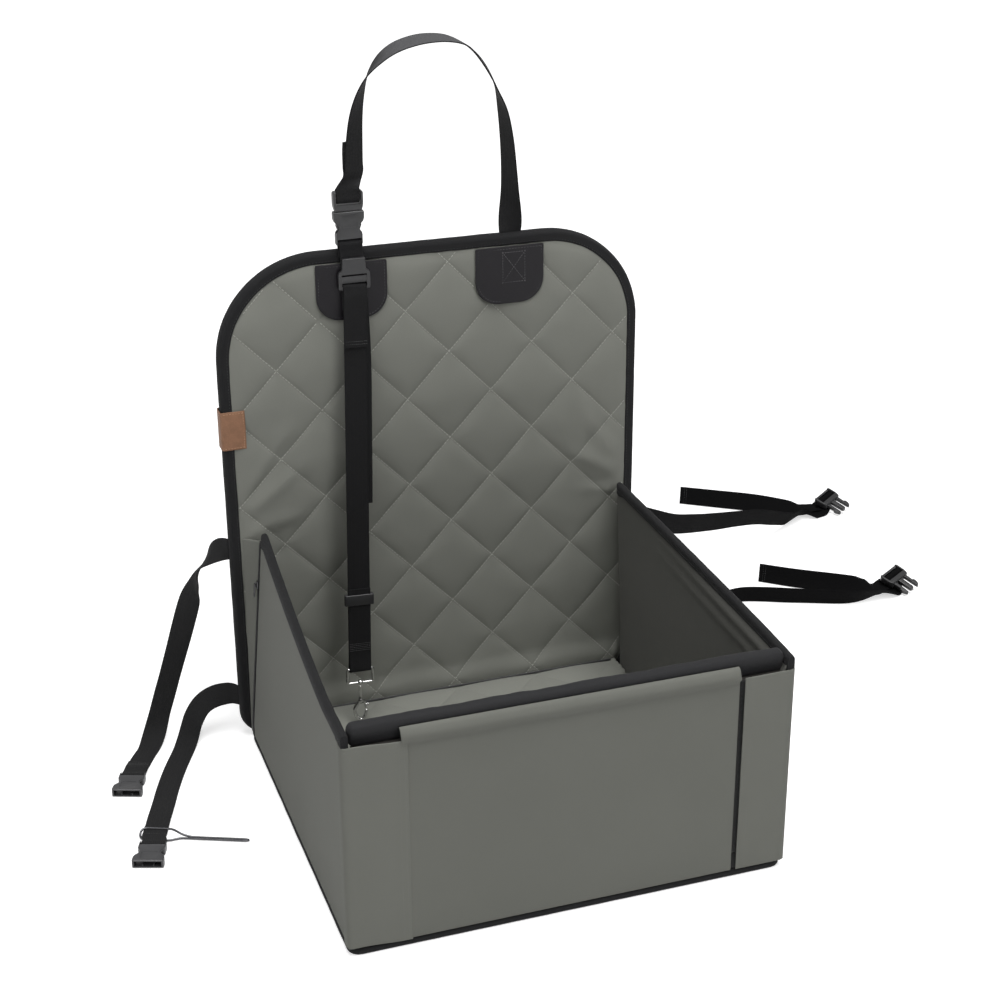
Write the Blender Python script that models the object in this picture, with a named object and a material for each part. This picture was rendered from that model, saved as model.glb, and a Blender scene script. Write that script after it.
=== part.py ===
"""Dog car seat: a folding upholstered box with a quilted backrest, seat straps and a dog tether.

Metres, +Z up. The origin is on the floor under the middle of the box, and the front faces -Y.
"""

import math

import bmesh
import bpy
import numpy as np
from mathutils import Matrix, Vector

# Gap between touching pieces, and how far a cutter runs past what it cuts
CLEARANCE = 0.0003
OVERRUN = 0.004

# Box
BOX_WIDTH = 0.450
FRONT_REACH = 0.217
REAR_REACH = 0.2274

# Base
COVER_THICKNESS = 0.0025
BASE_BOARD_THICKNESS = 0.005
BASE_TAPE_WIDTH = 0.006
BASE_CORNER_RADIUS = 0.012
MAT_THICKNESS = 0.0174
MAT_RELIEF = 0.003
MAT_SIDE_CLEARANCE = 0.001

# Side walls
WALL_SKIN = 0.0015
WALL_FOAM = 0.004
WALL_LINING = 0.0012
WALL_FRONT_TOP = 0.240
WALL_REAR_TOP = 0.2555
WALL_TAPE_HEIGHT = 0.010
WALL_TAPE_ROUNDING = 0.003
LEFT_TOP_LEAN = 0.0212
RIGHT_TOP_LEAN = 0.0095
LEAN_START_SHARE = 0.15
LEAN_POWER = 1.2

# Corner flaps and the strips that hold them
FLAP_THICKNESS = 0.0014
LEFT_FLAP_WIDTH = 0.062
RIGHT_FLAP_WIDTH = 0.048
FLAP_TOP = 0.2255
HOOK_THICKNESS = 0.0008
LOOP_THICKNESS = 0.0012
HOOK_STRIP_WIDTH = 0.040

# Front panel
COVER_PAD = 0.0023
FRONT_BOARD_THICKNESS = 0.007
FRONT_LINING = 0.0012
COVER_LEFT_INSET = 0.055
COVER_RIGHT_INSET = 0.059
COVER_TOP = 0.236
PANEL_TOP = 0.2215
ROLL_TOP = 0.245
ROLL_DEPTH = 0.0147
ROLL_ROUNDING = 0.005
PANEL_SIDE_CLEARANCE = 0.0042
SILL_RISE = 0.0012

# Backrest
BACKREST_WIDTH = 0.471
BACKREST_HEIGHT = 0.555
BACKREST_TOP_RADIUS = 0.110
BACKREST_FOOT_RADIUS = 0.030
BACK_TAPE_WIDTH = 0.012
BACK_TAPE_WALL = 0.001
BACK_TAPE_CORNER = 0.0008
REAR_COVER_THICKNESS = 0.0015
BACK_BOARD_THICKNESS = 0.003
QUILT_THICKNESS = 0.0085
QUILT_RELIEF = 0.003
DIAMOND_WIDTH = 0.095
DIAMOND_HEIGHT = 0.100
LATTICE_OFFSET = 0.016
LATTICE_DROP = 0.0235
STEPS_PER_HALF = 3

# Corner zips
ZIP_TAPE_WIDTH = 0.0027
ZIP_TAPE_THICKNESS = 0.0024
GUSSET_THICKNESS = 0.0015
GUSSET_RUN = 0.0121
GUSSET_TOP = 0.246
GUSSET_REAR_INSET_SHARE = 0.15
SLIDER_WIDTH = 0.0062
SLIDER_LENGTH = 0.009
SLIDER_THICKNESS = 0.0032
SLIDER_HEIGHT = 0.200
SLIDER_CHAMFER = 0.0006
SLIDER_OUTLINE_SHARES = ((0.70, 0.00), (1.00, 0.45), (0.80, 1.00))
PULL_PLACE_SHARE = 0.30
PULL_WIDTH = 0.0038
PULL_LENGTH = 0.016
PULL_THICKNESS = 0.0012

# Leather patches and label
PATCH_THICKNESS = 0.0015
PATCH_WIDTH = 0.077
PATCH_DROP = 0.074
PATCH_RADIUS = 0.026
LEFT_PATCH_CENTRE = -0.090
RIGHT_PATCH_CENTRE = 0.0845
LABEL_WIDTH = 0.026
LABEL_HEIGHT = 0.043
LABEL_DROP = 0.205
LABEL_THICKNESS = 0.001

# Webbing and buckles
WEBBING_WIDTH = 0.025
WEBBING_THICKNESS = 0.0016
BUCKLE_WIDTH = 0.0325
BUCKLE_THICKNESS = 0.0095
BUCKLE_WALL = 0.0016
BUCKLE_CHAMFER = 0.001
FEMALE_LENGTH = 0.036
MALE_FRAME_LENGTH = 0.021
MALE_PRONG_LENGTH = 0.022
BUCKLE_SLOT_WIDTH = 0.0265
BUCKLE_SLOT_LENGTH = 0.0042
BUCKLE_BAR = 0.003

# Headrest loop, on the left patch
LOOP_BUCKLE_CENTRE = -0.0918
LOOP_BUCKLE_INSET = 0.0214
LOOP_BUCKLE_RISE = 0.0075
LOOP_TAIL_LENGTH = 0.046
LOOP_TAIL_DRIFT = 0.003
LOOP_RIGHT_END = 0.0888
LOOP_RISE = 0.2010
LOOP_SIDE_STEP = 0.0076
LOOP_END_INSET = 0.0081
TAB_CENTRE = -0.089
TAB_DROP = 0.063

# Dog tether
TETHER_CENTRE = -0.0885
TETHER_INSET = 0.0269
TETHER_DROP = 0.040
TETHER_FOOT = 0.085
TETHER_SIDE_TILT = 0.0459
TETHER_FRONT_TILT = 0.0846
ADJUSTER_WIDTH = 0.034
ADJUSTER_HEIGHT = 0.0335
ADJUSTER_THICKNESS = 0.0045
ADJUSTER_BAR = 0.0035
GLIDE_RISE = 0.085
GLIDE_WIDTH = 0.0325
GLIDE_LENGTH = 0.0125
GLIDE_THICKNESS = 0.0062
GLIDE_RIM = 0.0012
FRONT_TAIL_LENGTH = 0.061
REAR_TAIL_LENGTH = 0.236
REAR_TAIL_OFFSET = 0.005

# Swivel hook
EYE_WIDTH = 0.0290
EYE_HEIGHT = 0.0165
EYE_WIRE = 0.0015
EYE_CORNER = 0.0019
SWIVEL_RADIUS = 0.0032
SWIVEL_LENGTH = 0.0065
SHANK_RADIUS = 0.0017
SHANK_LENGTH = 0.020
HOOK_WIRE = 0.0021
HOOK_WIDTH = 0.0145
HOOK_HEIGHT = 0.0215
GATE_WIRE = 0.0014
KNOB_RADIUS = 0.0018
BARREL_CROWN_SHARE = 0.70
BARREL_BAND_SHARE = 0.25
SHANK_SHARES = ((1.00, 0.00), (1.00, 0.75), (1.40, 0.85), (1.40, 1.00), (0.50, 1.12))
HOOK_ROUTE_SHARES = (
    (0.00, -0.06), (-0.25, 0.12), (-0.46, 0.42), (-0.33, 0.80), (0.00, 1.00), (0.33, 0.82), (0.46, 0.52))
HOOK_TIP_SHARE = 0.75
KNOB_PLACE_SHARE = 0.60
KNOB_SHARES = ((0.60, 0.00), (0.70, 1.00), (1.00, 1.40), (0.60, 2.20))

# Seat straps
UPPER_LEFT_HEIGHT = 0.2320
LOWER_LEFT_HEIGHT = 0.0510
UPPER_RIGHT_HEIGHT = 0.1980
LOWER_RIGHT_HEIGHT = 0.0500
STRAP_INSET = 0.0079
STRAP_REACH = 0.400
MALE_TILT = 16.0
BUCKLE_REST = 0.0048

# Wire clip round the lower left strap
CLIP_WIRE = 0.0012
CLIP_LENGTH = 0.1136
CLIP_WIDTH = 0.0135
CLIP_HEADING = -23.6
CLIP_PLACE_SHARES = (-0.2235, -0.4775)
CLIP_LIFT = 0.0052

# Routes of the seat straps, from the backrest outward. Each row is x, y and z and the twist.
# x and y are shares of the strap reach, z is a share of the attachment's height, and the twist
# is a share of a quarter turn: 0 stands on edge and 1 lies flat.
UPPER_LEFT_ROUTE_SHARES = (
    (0.000, 0.000, 1.000, 0.00), (0.018, 0.018, 0.990, 0.20), (0.042, 0.036, 0.955, 0.55),
    (0.068, 0.056, 0.885, 0.95), (0.086, 0.067, 0.800, 0.60), (0.106, 0.076, 0.690, 0.20),
    (0.143, 0.081, 0.480, 0.05), (0.180, 0.077, 0.290, 0.10), (0.210, 0.066, 0.150, 0.30),
    (0.236, 0.040, 0.050, 0.70), (0.262, 0.000, 0.003, 1.00), (0.295, -0.060, 0.000, 1.00),
    (0.3089, -0.0960, 0.016, 1.00), (0.3248, -0.1360, 0.018, 1.00))
LOWER_LEFT_ROUTE_SHARES = (
    (0.000, 0.000, 1.000, 0.00), (0.022, 0.016, 1.010, 0.12), (0.062, 0.030, 0.930, 0.32),
    (0.098, 0.034, 0.760, 0.50), (0.126, 0.026, 0.480, 0.72), (0.150, 0.004, 0.100, 0.95),
    (0.176, -0.050, 0.000, 1.00), (0.216, -0.140, 0.000, 1.00), (0.252, -0.235, 0.000, 1.00),
    (0.276, -0.310, 0.050, 1.00), (0.295, -0.365, 0.065, 1.00), (0.313, -0.420, 0.065, 1.00),
    (0.3245, -0.4560, 0.072, 1.00), (0.3292, -0.4835, 0.078, 1.00))
UPPER_RIGHT_ROUTE_SHARES = (
    (0.000, 0.000, 1.000, 0.00), (0.045, 0.030, 0.965, 0.00), (0.110, 0.075, 0.885, 0.02),
    (0.215, 0.175, 0.740, 0.04), (0.322, 0.275, 0.620, 0.08), (0.483, 0.425, 0.455, 0.12),
    (0.713, 0.600, 0.265, 0.22), (0.865, 0.712, 0.110, 0.35), (0.978, 0.775, 0.010, 0.55),
    (1.040, 0.803, 0.000, 1.00), (1.078, 0.815, 0.000, 1.00), (1.120, 0.845, 0.000, 1.00))
LOWER_RIGHT_ROUTE_SHARES = (
    (0.000, 0.000, 1.000, 0.00), (0.040, 0.024, 0.960, 0.00), (0.120, 0.080, 0.760, 0.05),
    (0.230, 0.155, 0.420, 0.10), (0.350, 0.225, 0.120, 0.15), (0.440, 0.262, 0.000, 0.18),
    (0.505, 0.270, 0.000, 0.18), (0.570, 0.250, 0.000, 0.18), (0.682, 0.199, 0.000, 0.20),
    (0.830, 0.139, 0.000, 0.30), (0.935, 0.138, 0.000, 0.75), (1.000, 0.171, 0.000, 1.00),
    (1.030, 0.212, 0.000, 1.00))
UPPER_RIGHT_TAIL_SHARES = (
    (1.112, 0.857, 0.0185, 1.00), (1.082, 0.858, 0.0185, 1.00), (1.046, 0.863, 0.0185, 1.00),
    (0.975, 0.868, 0.015, 0.65), (0.872, 0.916, 0.000, 0.35), (0.767, 0.981, 0.000, 0.20),
    (0.647, 1.061, 0.000, 0.10))
LOWER_RIGHT_TAIL_SHARES = (
    (1.038, 0.238, 0.068, 1.00), (1.012, 0.228, 0.068, 1.00), (0.975, 0.217, 0.068, 1.00),
    (0.925, 0.213, 0.068, 0.70), (0.874, 0.221, 0.000, 0.35), (0.739, 0.309, 0.000, 0.15),
    (0.634, 0.394, 0.000, 0.10))
UPPER_LEFT_HEADING = -110.9
LOWER_LEFT_HEADING = -109.5
UPPER_RIGHT_HEADING = -51.7
LOWER_RIGHT_HEADING = -66.4

# Headrest loop from the buckle to the right patch: how far across, how far up, and the twist,
# where 0 faces forward and 1 lies flat with its width along Y
LOOP_ROUTE_SHARES = (
    (0.000, 0.000, 0.00), (0.006, 0.060, 0.35), (0.028, 0.290, 0.50), (0.050, 0.390, 0.62),
    (0.077, 0.459, 0.80), (0.104, 0.533, 1.00), (0.172, 0.598, 1.20), (0.246, 0.640, 1.25),
    (0.337, 0.677, 1.20), (0.490, 0.700, 1.10), (0.612, 0.688, 1.05), (0.723, 0.637, 1.00),
    (0.797, 0.570, 1.15), (0.847, 0.505, 1.15), (0.905, 0.430, 1.00), (0.943, 0.300, 0.62),
    (0.970, 0.130, 0.30), (0.992, -0.140, 0.10), (1.000, -0.330, 0.00))

# Side release buckle outlines: share of the half width, share of the length
FEMALE_OUTLINE_SHARES = (
    (0.78, 0.00), (0.86, 0.06), (0.86, 0.34), (0.66, 0.46), (0.66, 0.56), (0.95, 0.72),
    (1.00, 0.80), (1.00, 0.95), (0.94, 1.00))
MALE_FRAME_SHARES = ((0.82, 0.00), (0.97, 0.12), (0.97, 0.62), (0.84, 1.00))
CAVITY_SHARE = 0.86
CAVITY_DEPTH_SHARE = 0.64
TONGUE_SHARE = 0.20
ARM_INNER_SHARE = 0.55
ADJUSTER_OUTLINE_SHARES = ((0.92, 0.00), (1.00, 0.10), (1.00, 0.52), (0.76, 0.64), (0.72, 1.00))

# Worked out from the sizes above
HALF_WIDTH = BOX_WIDTH / 2
FRONT_Y = -FRONT_REACH
BASE_BOARD_FOOT = COVER_THICKNESS + CLEARANCE
BASE_TAPE_HEIGHT = BASE_BOARD_FOOT + BASE_BOARD_THICKNESS
WALL_FOOT = BASE_TAPE_HEIGHT + CLEARANCE
MAT_FOOT = WALL_FOOT
MAT_TOP = MAT_FOOT + MAT_THICKNESS
WALL_THICKNESS = WALL_SKIN + WALL_FOAM + WALL_LINING + 2 * CLEARANCE
QUILT_REAR = REAR_REACH - BACK_TAPE_WALL - REAR_COVER_THICKNESS - BACK_BOARD_THICKNESS - 3 * CLEARANCE
QUILT_FACE = QUILT_REAR - QUILT_THICKNESS
BACK_TAPE_FRONT = QUILT_FACE - CLEARANCE - BACK_TAPE_WALL
BASE_REAR_Y = BACK_TAPE_FRONT - CLEARANCE
QUILT_CROWN = QUILT_FACE - QUILT_RELIEF
GUSSET_REAR_Y = BACK_TAPE_FRONT - CLEARANCE
FLAP_BACK_Y = FRONT_Y + FLAP_THICKNESS
WALL_FRONT_Y = FLAP_BACK_Y + CLEARANCE
COVER_BACK_Y = WALL_FRONT_Y + COVER_PAD
BOARD_FRONT_Y = COVER_BACK_Y + CLEARANCE
BOARD_BACK_Y = BOARD_FRONT_Y + FRONT_BOARD_THICKNESS
LINING_BACK_Y = BOARD_BACK_Y + CLEARANCE + FRONT_LINING
PANEL_BACK_Y = BOARD_FRONT_Y + ROLL_DEPTH
SILL_TOP = MAT_TOP + SILL_RISE
PANEL_FOOT = SILL_TOP + CLEARANCE
PANEL_HALF = HALF_WIDTH - WALL_THICKNESS - PANEL_SIDE_CLEARANCE
WALL_REAR_Y = GUSSET_REAR_Y - GUSSET_RUN - ZIP_TAPE_WIDTH - 2 * CLEARANCE
BACK_HALF = BACKREST_WIDTH / 2
COVER_LEFT_EDGE = HALF_WIDTH - COVER_LEFT_INSET
COVER_RIGHT_EDGE = HALF_WIDTH - COVER_RIGHT_INSET
LOOP_BUCKLE_DEPTH = REAR_REACH - LOOP_BUCKLE_INSET
LOOP_END_DEPTH = REAR_REACH - LOOP_END_INSET
TETHER_DEPTH = REAR_REACH - TETHER_INSET
STRAP_DEPTH = REAR_REACH - STRAP_INSET
STRAP_SIDE = BACK_HALF + CLEARANCE
CLIP_X = STRAP_REACH * CLIP_PLACE_SHARES[0] - STRAP_SIDE
CLIP_Y = STRAP_REACH * CLIP_PLACE_SHARES[1] + STRAP_DEPTH
CLIP_PLACE = (CLIP_X, CLIP_Y, 0.0)
PATCH_FOOT = BACKREST_HEIGHT - PATCH_DROP
LABEL_FOOT = BACKREST_HEIGHT - LABEL_DROP
LOOP_BUCKLE_FOOT = BACKREST_HEIGHT + LOOP_BUCKLE_RISE
TAB_FOOT = BACKREST_HEIGHT - TAB_DROP
TETHER_PIVOT_HEIGHT = BACKREST_HEIGHT - TETHER_DROP
TETHER_LENGTH = TETHER_PIVOT_HEIGHT - TETHER_FOOT
GLIDE_PLACE = TETHER_LENGTH - GLIDE_RISE
PATCH_FACE = QUILT_CROWN - CLEARANCE - PATCH_THICKNESS
TAB_FACE = PATCH_FACE - CLEARANCE - WEBBING_THICKNESS
LOOP_BUCKLE_TOP = LOOP_BUCKLE_FOOT + FEMALE_LENGTH + CLEARANCE + MALE_FRAME_LENGTH
LOOP_FOOT = LOOP_BUCKLE_TOP + WEBBING_THICKNESS + 2 * CLEARANCE

PAINTS = {
    "polyester": ((0.147, 0.150, 0.133), 0.85, 0.0),
    "lining": ((0.120, 0.122, 0.108), 0.90, 0.0),
    "tape": ((0.020, 0.020, 0.021), 0.80, 0.0),
    "webbing": ((0.012, 0.012, 0.012), 0.85, 0.0),
    "hook_tape": ((0.015, 0.015, 0.015), 0.95, 0.0),
    "leather": ((0.017, 0.015, 0.018), 0.50, 0.0),
    "label_leather": ((0.330, 0.160, 0.075), 0.60, 0.0),
    "board": ((0.300, 0.240, 0.170), 0.85, 0.0),
    "foam": ((0.450, 0.450, 0.430), 0.95, 0.0),
    "plastic": ((0.016, 0.016, 0.017), 0.40, 0.0),
    "steel": ((0.560, 0.560, 0.550), 0.25, 1.0),
}

JOINTS = {}


# Mesh tools

def clear_scene():
    for item in list(bpy.data.objects):
        bpy.data.objects.remove(item, do_unlink=True)


def paint(name):
    found = bpy.data.materials.get(name)
    if found:
        return found
    colour, roughness, metallic = PAINTS[name]
    made = bpy.data.materials.new(name)
    made.use_nodes = True
    shader = made.node_tree.nodes["Principled BSDF"]
    shader.inputs["Base Color"].default_value = (*colour, 1.0)
    shader.inputs["Roughness"].default_value = roughness
    shader.inputs["Metallic"].default_value = metallic
    made.diffuse_color = (*colour, 1.0)
    return made


def add_joint(name, place):
    """An empty on a joint's axis, which carries the pieces that move with it."""
    empty = bpy.data.objects.new("joint_" + name, None)
    empty.location = place
    bpy.context.collection.objects.link(empty)
    JOINTS[name] = empty


def add_piece(name, shape, finish, joint=None, smooth_angle=None):
    """Turn a bmesh in world places into a named object that rides on its joint's empty."""
    bmesh.ops.recalc_face_normals(shape, faces=shape.faces)
    mesh = bpy.data.meshes.new(name)
    shape.to_mesh(mesh)
    shape.free()
    mesh.materials.append(paint(finish))
    if smooth_angle is not None:
        mesh.shade_smooth()
        mesh.set_sharp_from_angle(angle=math.radians(smooth_angle))
    item = bpy.data.objects.new(name, mesh)
    bpy.context.collection.objects.link(item)
    if joint:
        item.parent = JOINTS[joint]
        item.matrix_parent_inverse = Matrix.Translation(-JOINTS[joint].location)
    return item


def box(low, high):
    shape = bmesh.new()
    middle = (Vector(low) + Vector(high)) / 2
    size = Vector(high) - Vector(low)
    bmesh.ops.create_cube(shape, size=1.0, matrix=Matrix.Translation(middle) @ Matrix.Diagonal((*size, 1)))
    return shape


def sweep(rings, closed=False):
    """Skin a list of rings that have the same number of points."""
    shape = bmesh.new()
    rows = [[shape.verts.new(point) for point in ring] for ring in rings]
    count = len(rows[0])
    pairs = list(zip(rows, rows[1:]))
    if closed:
        pairs.append((rows[-1], rows[0]))
    for first, second in pairs:
        for index in range(count):
            after = (index + 1) % count
            shape.faces.new((first[index], first[after], second[after], second[index]))
    if not closed:
        shape.faces.new(rows[0])
        shape.faces.new(reversed(rows[-1]))
    return shape


def slab(near, far):
    """A closed sheet between two grids of points of the same shape."""
    shape = bmesh.new()
    rows, columns = len(near), len(near[0])
    front = [[shape.verts.new(point) for point in row] for row in near]
    back = [[shape.verts.new(point) for point in row] for row in far]
    for i in range(rows - 1):
        for j in range(columns - 1):
            for grid in (front, back):
                shape.faces.new((grid[i][j], grid[i + 1][j], grid[i + 1][j + 1], grid[i][j + 1]))
    rim = [(i, 0) for i in range(rows)] + [(rows - 1, j) for j in range(1, columns)]
    rim += [(i, columns - 1) for i in range(rows - 2, -1, -1)] + [(0, j) for j in range(columns - 2, 0, -1)]
    for (i, j), (k, m) in zip(rim, rim[1:] + rim[:1]):
        shape.faces.new((front[i][j], front[k][m], back[k][m], back[i][j]))
    return shape


def inset(outline, amount):
    """Move a counter-clockwise outline's points inward, square to its sides."""
    points = [Vector(point) for point in outline]
    moved = []
    for index, point in enumerate(points):
        before = (point - points[index - 1]).normalized()
        after = (points[(index + 1) % len(points)] - point).normalized()
        first = Vector((-before.y, before.x))
        second = Vector((-after.y, after.x))
        moved.append(point + (first + second) * amount / (1 + first.dot(second)))
    return moved


def prism(outline, low, high, place, chamfer=0):
    """Extrude an outline from low to high. place turns (u, v, w) into a world point."""
    levels = [(low, 0), (high, 0)]
    if chamfer:
        levels = [(low, chamfer), (low + chamfer, 0), (high - chamfer, 0), (high, chamfer)]
    rings = [[place(u, v, level) for u, v in inset(outline, amount)] for level, amount in levels]
    return sweep(rings)


def across_y(u, v, w):
    return Vector((u, w, v))


def flat(u, v, w):
    return Vector((u, v, w))


def rounded(low, high, radii, steps):
    """A counter-clockwise rounded rectangle. radii start at the low corner and go round."""
    corners = ((low[0], low[1], 1, 1), (high[0], low[1], -1, 1), (high[0], high[1], -1, -1), (low[0], high[1], 1, -1))
    outline = []
    for quarter, ((x, y, side, up), radius) in enumerate(zip(corners, radii)):
        for step in range(steps + 1):
            angle = math.pi + (quarter + step / steps) * math.pi / 2
            outline.append((x + radius * (side + math.cos(angle)), y + radius * (up + math.sin(angle))))
    return outline


def mirrored(shares, half, length):
    """An outline that is the same on both sides, from shares of its half width and length."""
    right = [(x * half, y * length) for x, y in shares]
    return right + [(-x, y) for x, y in reversed(right)]


def boolean(base, tool, operation):
    """Base changed by tool, which is used up, with the exact solver."""
    holders = []
    for name, shape in (("base", base), ("tool", tool)):
        bmesh.ops.recalc_face_normals(shape, faces=shape.faces)
        mesh = bpy.data.meshes.new(name)
        shape.to_mesh(mesh)
        shape.free()
        holders.append(bpy.data.objects.new(name, mesh))
        bpy.context.collection.objects.link(holders[-1])
    change = holders[0].modifiers.new("change", "BOOLEAN")
    change.object = holders[1]
    change.operation = operation
    change.solver = "EXACT"
    result = bmesh.new()
    result.from_object(holders[0], bpy.context.evaluated_depsgraph_get())
    for holder in holders:
        mesh = holder.data
        bpy.data.objects.remove(holder, do_unlink=True)
        bpy.data.meshes.remove(mesh)
    return result


def smooth_rows(rows, count):
    """Points at even steps along a smooth curve through the rows, which may have any width."""
    rows = np.array(rows, dtype=float)
    padded = np.vstack([2 * rows[0] - rows[1], rows, 2 * rows[-1] - rows[-2]])
    fine = []
    for index in range(1, len(padded) - 2):
        before, start, end, after = padded[index - 1:index + 3]
        for step in np.linspace(0, 1, 16, endpoint=False):
            fine.append((2 * start + (end - before) * step
                         + (2 * before - 5 * start + 4 * end - after) * step ** 2
                         + (3 * start - 3 * end + after - before) * step ** 3) / 2)
    fine.append(rows[-1])
    fine = np.array(fine)
    gone = np.concatenate([[0], np.cumsum(np.linalg.norm(np.diff(fine[:, :3], axis=0), axis=1))])
    wanted = np.linspace(0, gone[-1], count)
    return np.array([np.interp(wanted, gone, column) for column in fine.T]).T


def directions(points):
    slopes = np.gradient(points, axis=0)
    return [Vector(slope).normalized() for slope in slopes]


def ribbon(points, acrosses, start=None, end=None):
    """A strip of webbing whose width lies along acrosses. Its ends are cut square to start and end."""
    alongs = directions(points)
    alongs[0] = start or alongs[0]
    alongs[-1] = end or alongs[-1]
    near, far = [], []
    for point, along, across in zip(points, alongs, acrosses):
        face = along.cross(across).normalized()
        middle = Vector(point)
        edge = across * WEBBING_WIDTH / 2
        half = face * WEBBING_THICKNESS / 2
        near.append([middle - edge + half, middle + edge + half])
        far.append([middle - edge - half, middle + edge - half])
    return slab(near, far)


def tube(points, radius, sides, closed=False):
    """A round wire along points, with its rings turned as little as may be."""
    points = [Vector(point) for point in points]
    count = len(points)
    rings = []
    normal = None
    for index, point in enumerate(points):
        before = points[index - 1] if closed or index else point
        after = points[(index + 1) % count] if closed or index < count - 1 else point
        along = (after - before).normalized()
        if normal is None:
            normal = along.orthogonal().normalized()
        normal = (normal - along * normal.dot(along)).normalized()
        side = along.cross(normal)
        size = radius(index / (count - 1)) if callable(radius) else radius
        turns = [2 * math.pi * step / sides for step in range(sides)]
        rings.append([point + (normal * math.cos(turn) + side * math.sin(turn)) * size for turn in turns])
    return sweep(rings, closed)


def turned(profile, sides, place):
    """A round piece from (radius, height) rows."""
    turns = [2 * math.pi * step / sides for step in range(sides)]
    rings = [[place @ Vector((radius * math.cos(turn), radius * math.sin(turn), height)) for turn in turns]
             for radius, height in profile]
    return sweep(rings)


def moved(shape, place):
    bmesh.ops.transform(shape, matrix=place, verts=shape.verts)
    return shape


# Shapes that several pieces share

def lean(side, y, z):
    """How far a wall leans inward at a place: nothing at the front and foot, most at the rear top."""
    top = LEFT_TOP_LEAN if side < 0 else RIGHT_TOP_LEAN
    along = (y - WALL_FRONT_Y) / (WALL_REAR_Y - WALL_FRONT_Y)
    share = max(0, (along - LEAN_START_SHARE) / (1 - LEAN_START_SHARE)) ** LEAN_POWER
    rise = max(0, (z - MAT_TOP) / (WALL_REAR_TOP - MAT_TOP))
    return top * share * rise


def wall_point(side, depth, y, z):
    return Vector((side * (HALF_WIDTH - depth - lean(side, y, z)), y, z))


def wall_top(y):
    along = (y - WALL_FRONT_Y) / (WALL_REAR_Y - WALL_FRONT_Y)
    return WALL_FRONT_TOP + (WALL_REAR_TOP - WALL_FRONT_TOP) * along


def backrest_outline(amount):
    """The backrest's outline, moved inward by amount."""
    low = (-BACK_HALF + amount, amount)
    high = (BACK_HALF - amount, BACKREST_HEIGHT - amount)
    foot = BACKREST_FOOT_RADIUS - amount
    head = BACKREST_TOP_RADIUS - amount
    return rounded(low, high, (foot, foot, head, head), 8)


def rounded_depth(x, z, low, high, foot, head):
    """How far a point lies inside a rounded rectangle."""
    radius = head if z > (low[1] + high[1]) / 2 else foot
    across = max(low[0] + radius - x, x - high[0] + radius)
    up = max(low[1] + radius - z, z - high[1] + radius)
    if across > 0 and up > 0:
        return radius - math.hypot(across, up)
    return radius - max(across, up)


def pillow(x, z):
    """0 on the sewn diagonal channels and 1 in the middle of each diamond."""
    u = (x - LATTICE_OFFSET) / (DIAMOND_WIDTH / 2)
    v = z / (DIAMOND_HEIGHT / 2)
    return abs(math.sin(math.pi * (u + v) / 2) * math.sin(math.pi * (u - v) / 2))


def quilted(low, high, start, height, foot, place):
    """A block whose top follows height(x, z) on a grid that has the diamond channels on its edges."""
    step_x = DIAMOND_WIDTH / 2 / STEPS_PER_HALF
    step_z = DIAMOND_HEIGHT / 2 / STEPS_PER_HALF
    first = (math.floor((low[0] - LATTICE_OFFSET) / step_x) - 1, math.floor((low[1] - start) / step_z) - 1)
    last = (math.ceil((high[0] - LATTICE_OFFSET) / step_x) + 1, math.ceil((high[1] - start) / step_z) + 1)
    columns = range(first[0], last[0] + 1)
    rows = range(first[1], last[1] + 1)
    shape = bmesh.new()
    top = {}
    for i in columns:
        for j in rows:
            x, z = LATTICE_OFFSET + i * step_x, start + j * step_z
            top[i, j] = shape.verts.new(place(x, z, height(x, z)))
    period = 2 * STEPS_PER_HALF
    for i in columns[:-1]:
        for j in rows[:-1]:
            a, b, c, d = top[i, j], top[i + 1, j], top[i + 1, j + 1], top[i, j + 1]
            rising = (i - j) % period in (0, 1, period - 1)
            falling = (i + j + 1) % period == 0
            halves = ((a, b, c), (a, c, d)) if rising and not falling else ((a, b, d), (b, c, d))
            for half in halves:
                shape.faces.new(half)
    corners = [(columns[0], rows[0]), (columns[-1], rows[0]), (columns[-1], rows[-1]), (columns[0], rows[-1])]
    sides = [[(i, rows[0]) for i in columns], [(columns[-1], j) for j in rows],
             [(i, rows[-1]) for i in reversed(columns)], [(columns[0], j) for j in reversed(rows)]]
    base = [shape.verts.new(place(LATTICE_OFFSET + i * step_x, start + j * step_z, foot)) for i, j in corners]
    for index, side in enumerate(sides):
        ring = [top[key] for key in side] + [base[(index + 1) % 4], base[index]]
        shape.faces.new(ring)
    shape.faces.new(base)
    return shape


def fade(depth, start, run):
    share = min(1, max(0, (depth - start) / run))
    return share * share * (3 - 2 * share)


# Base

def make_base():
    rear = BASE_REAR_Y
    radius = BASE_CORNER_RADIUS
    outer = rounded((-HALF_WIDTH, FRONT_Y), (HALF_WIDTH, rear), (radius,) * 4, 5)
    levels = ((0, 1), (BASE_TAPE_WIDTH / 4, 0), (BASE_TAPE_HEIGHT - BASE_TAPE_WIDTH / 4, 0), (BASE_TAPE_HEIGHT, 1))
    rounding = BASE_TAPE_WIDTH / 4
    rings = [[flat(u, v, level) for u, v in inset(outer, rounding * bend)] for level, bend in levels]
    inner = inset(outer, BASE_TAPE_WIDTH)
    rings += [[flat(u, v, level) for u, v in inner] for level in (BASE_TAPE_HEIGHT, 0)]
    add_piece("base_binding", sweep(rings, closed=True), "tape")

    plate = inset(outer, BASE_TAPE_WIDTH + CLEARANCE)
    add_piece("base_cover", prism(plate, 0, COVER_THICKNESS, flat), "lining")
    add_piece("base_board", prism(plate, BASE_BOARD_FOOT, BASE_TAPE_HEIGHT, flat), "board")


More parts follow.
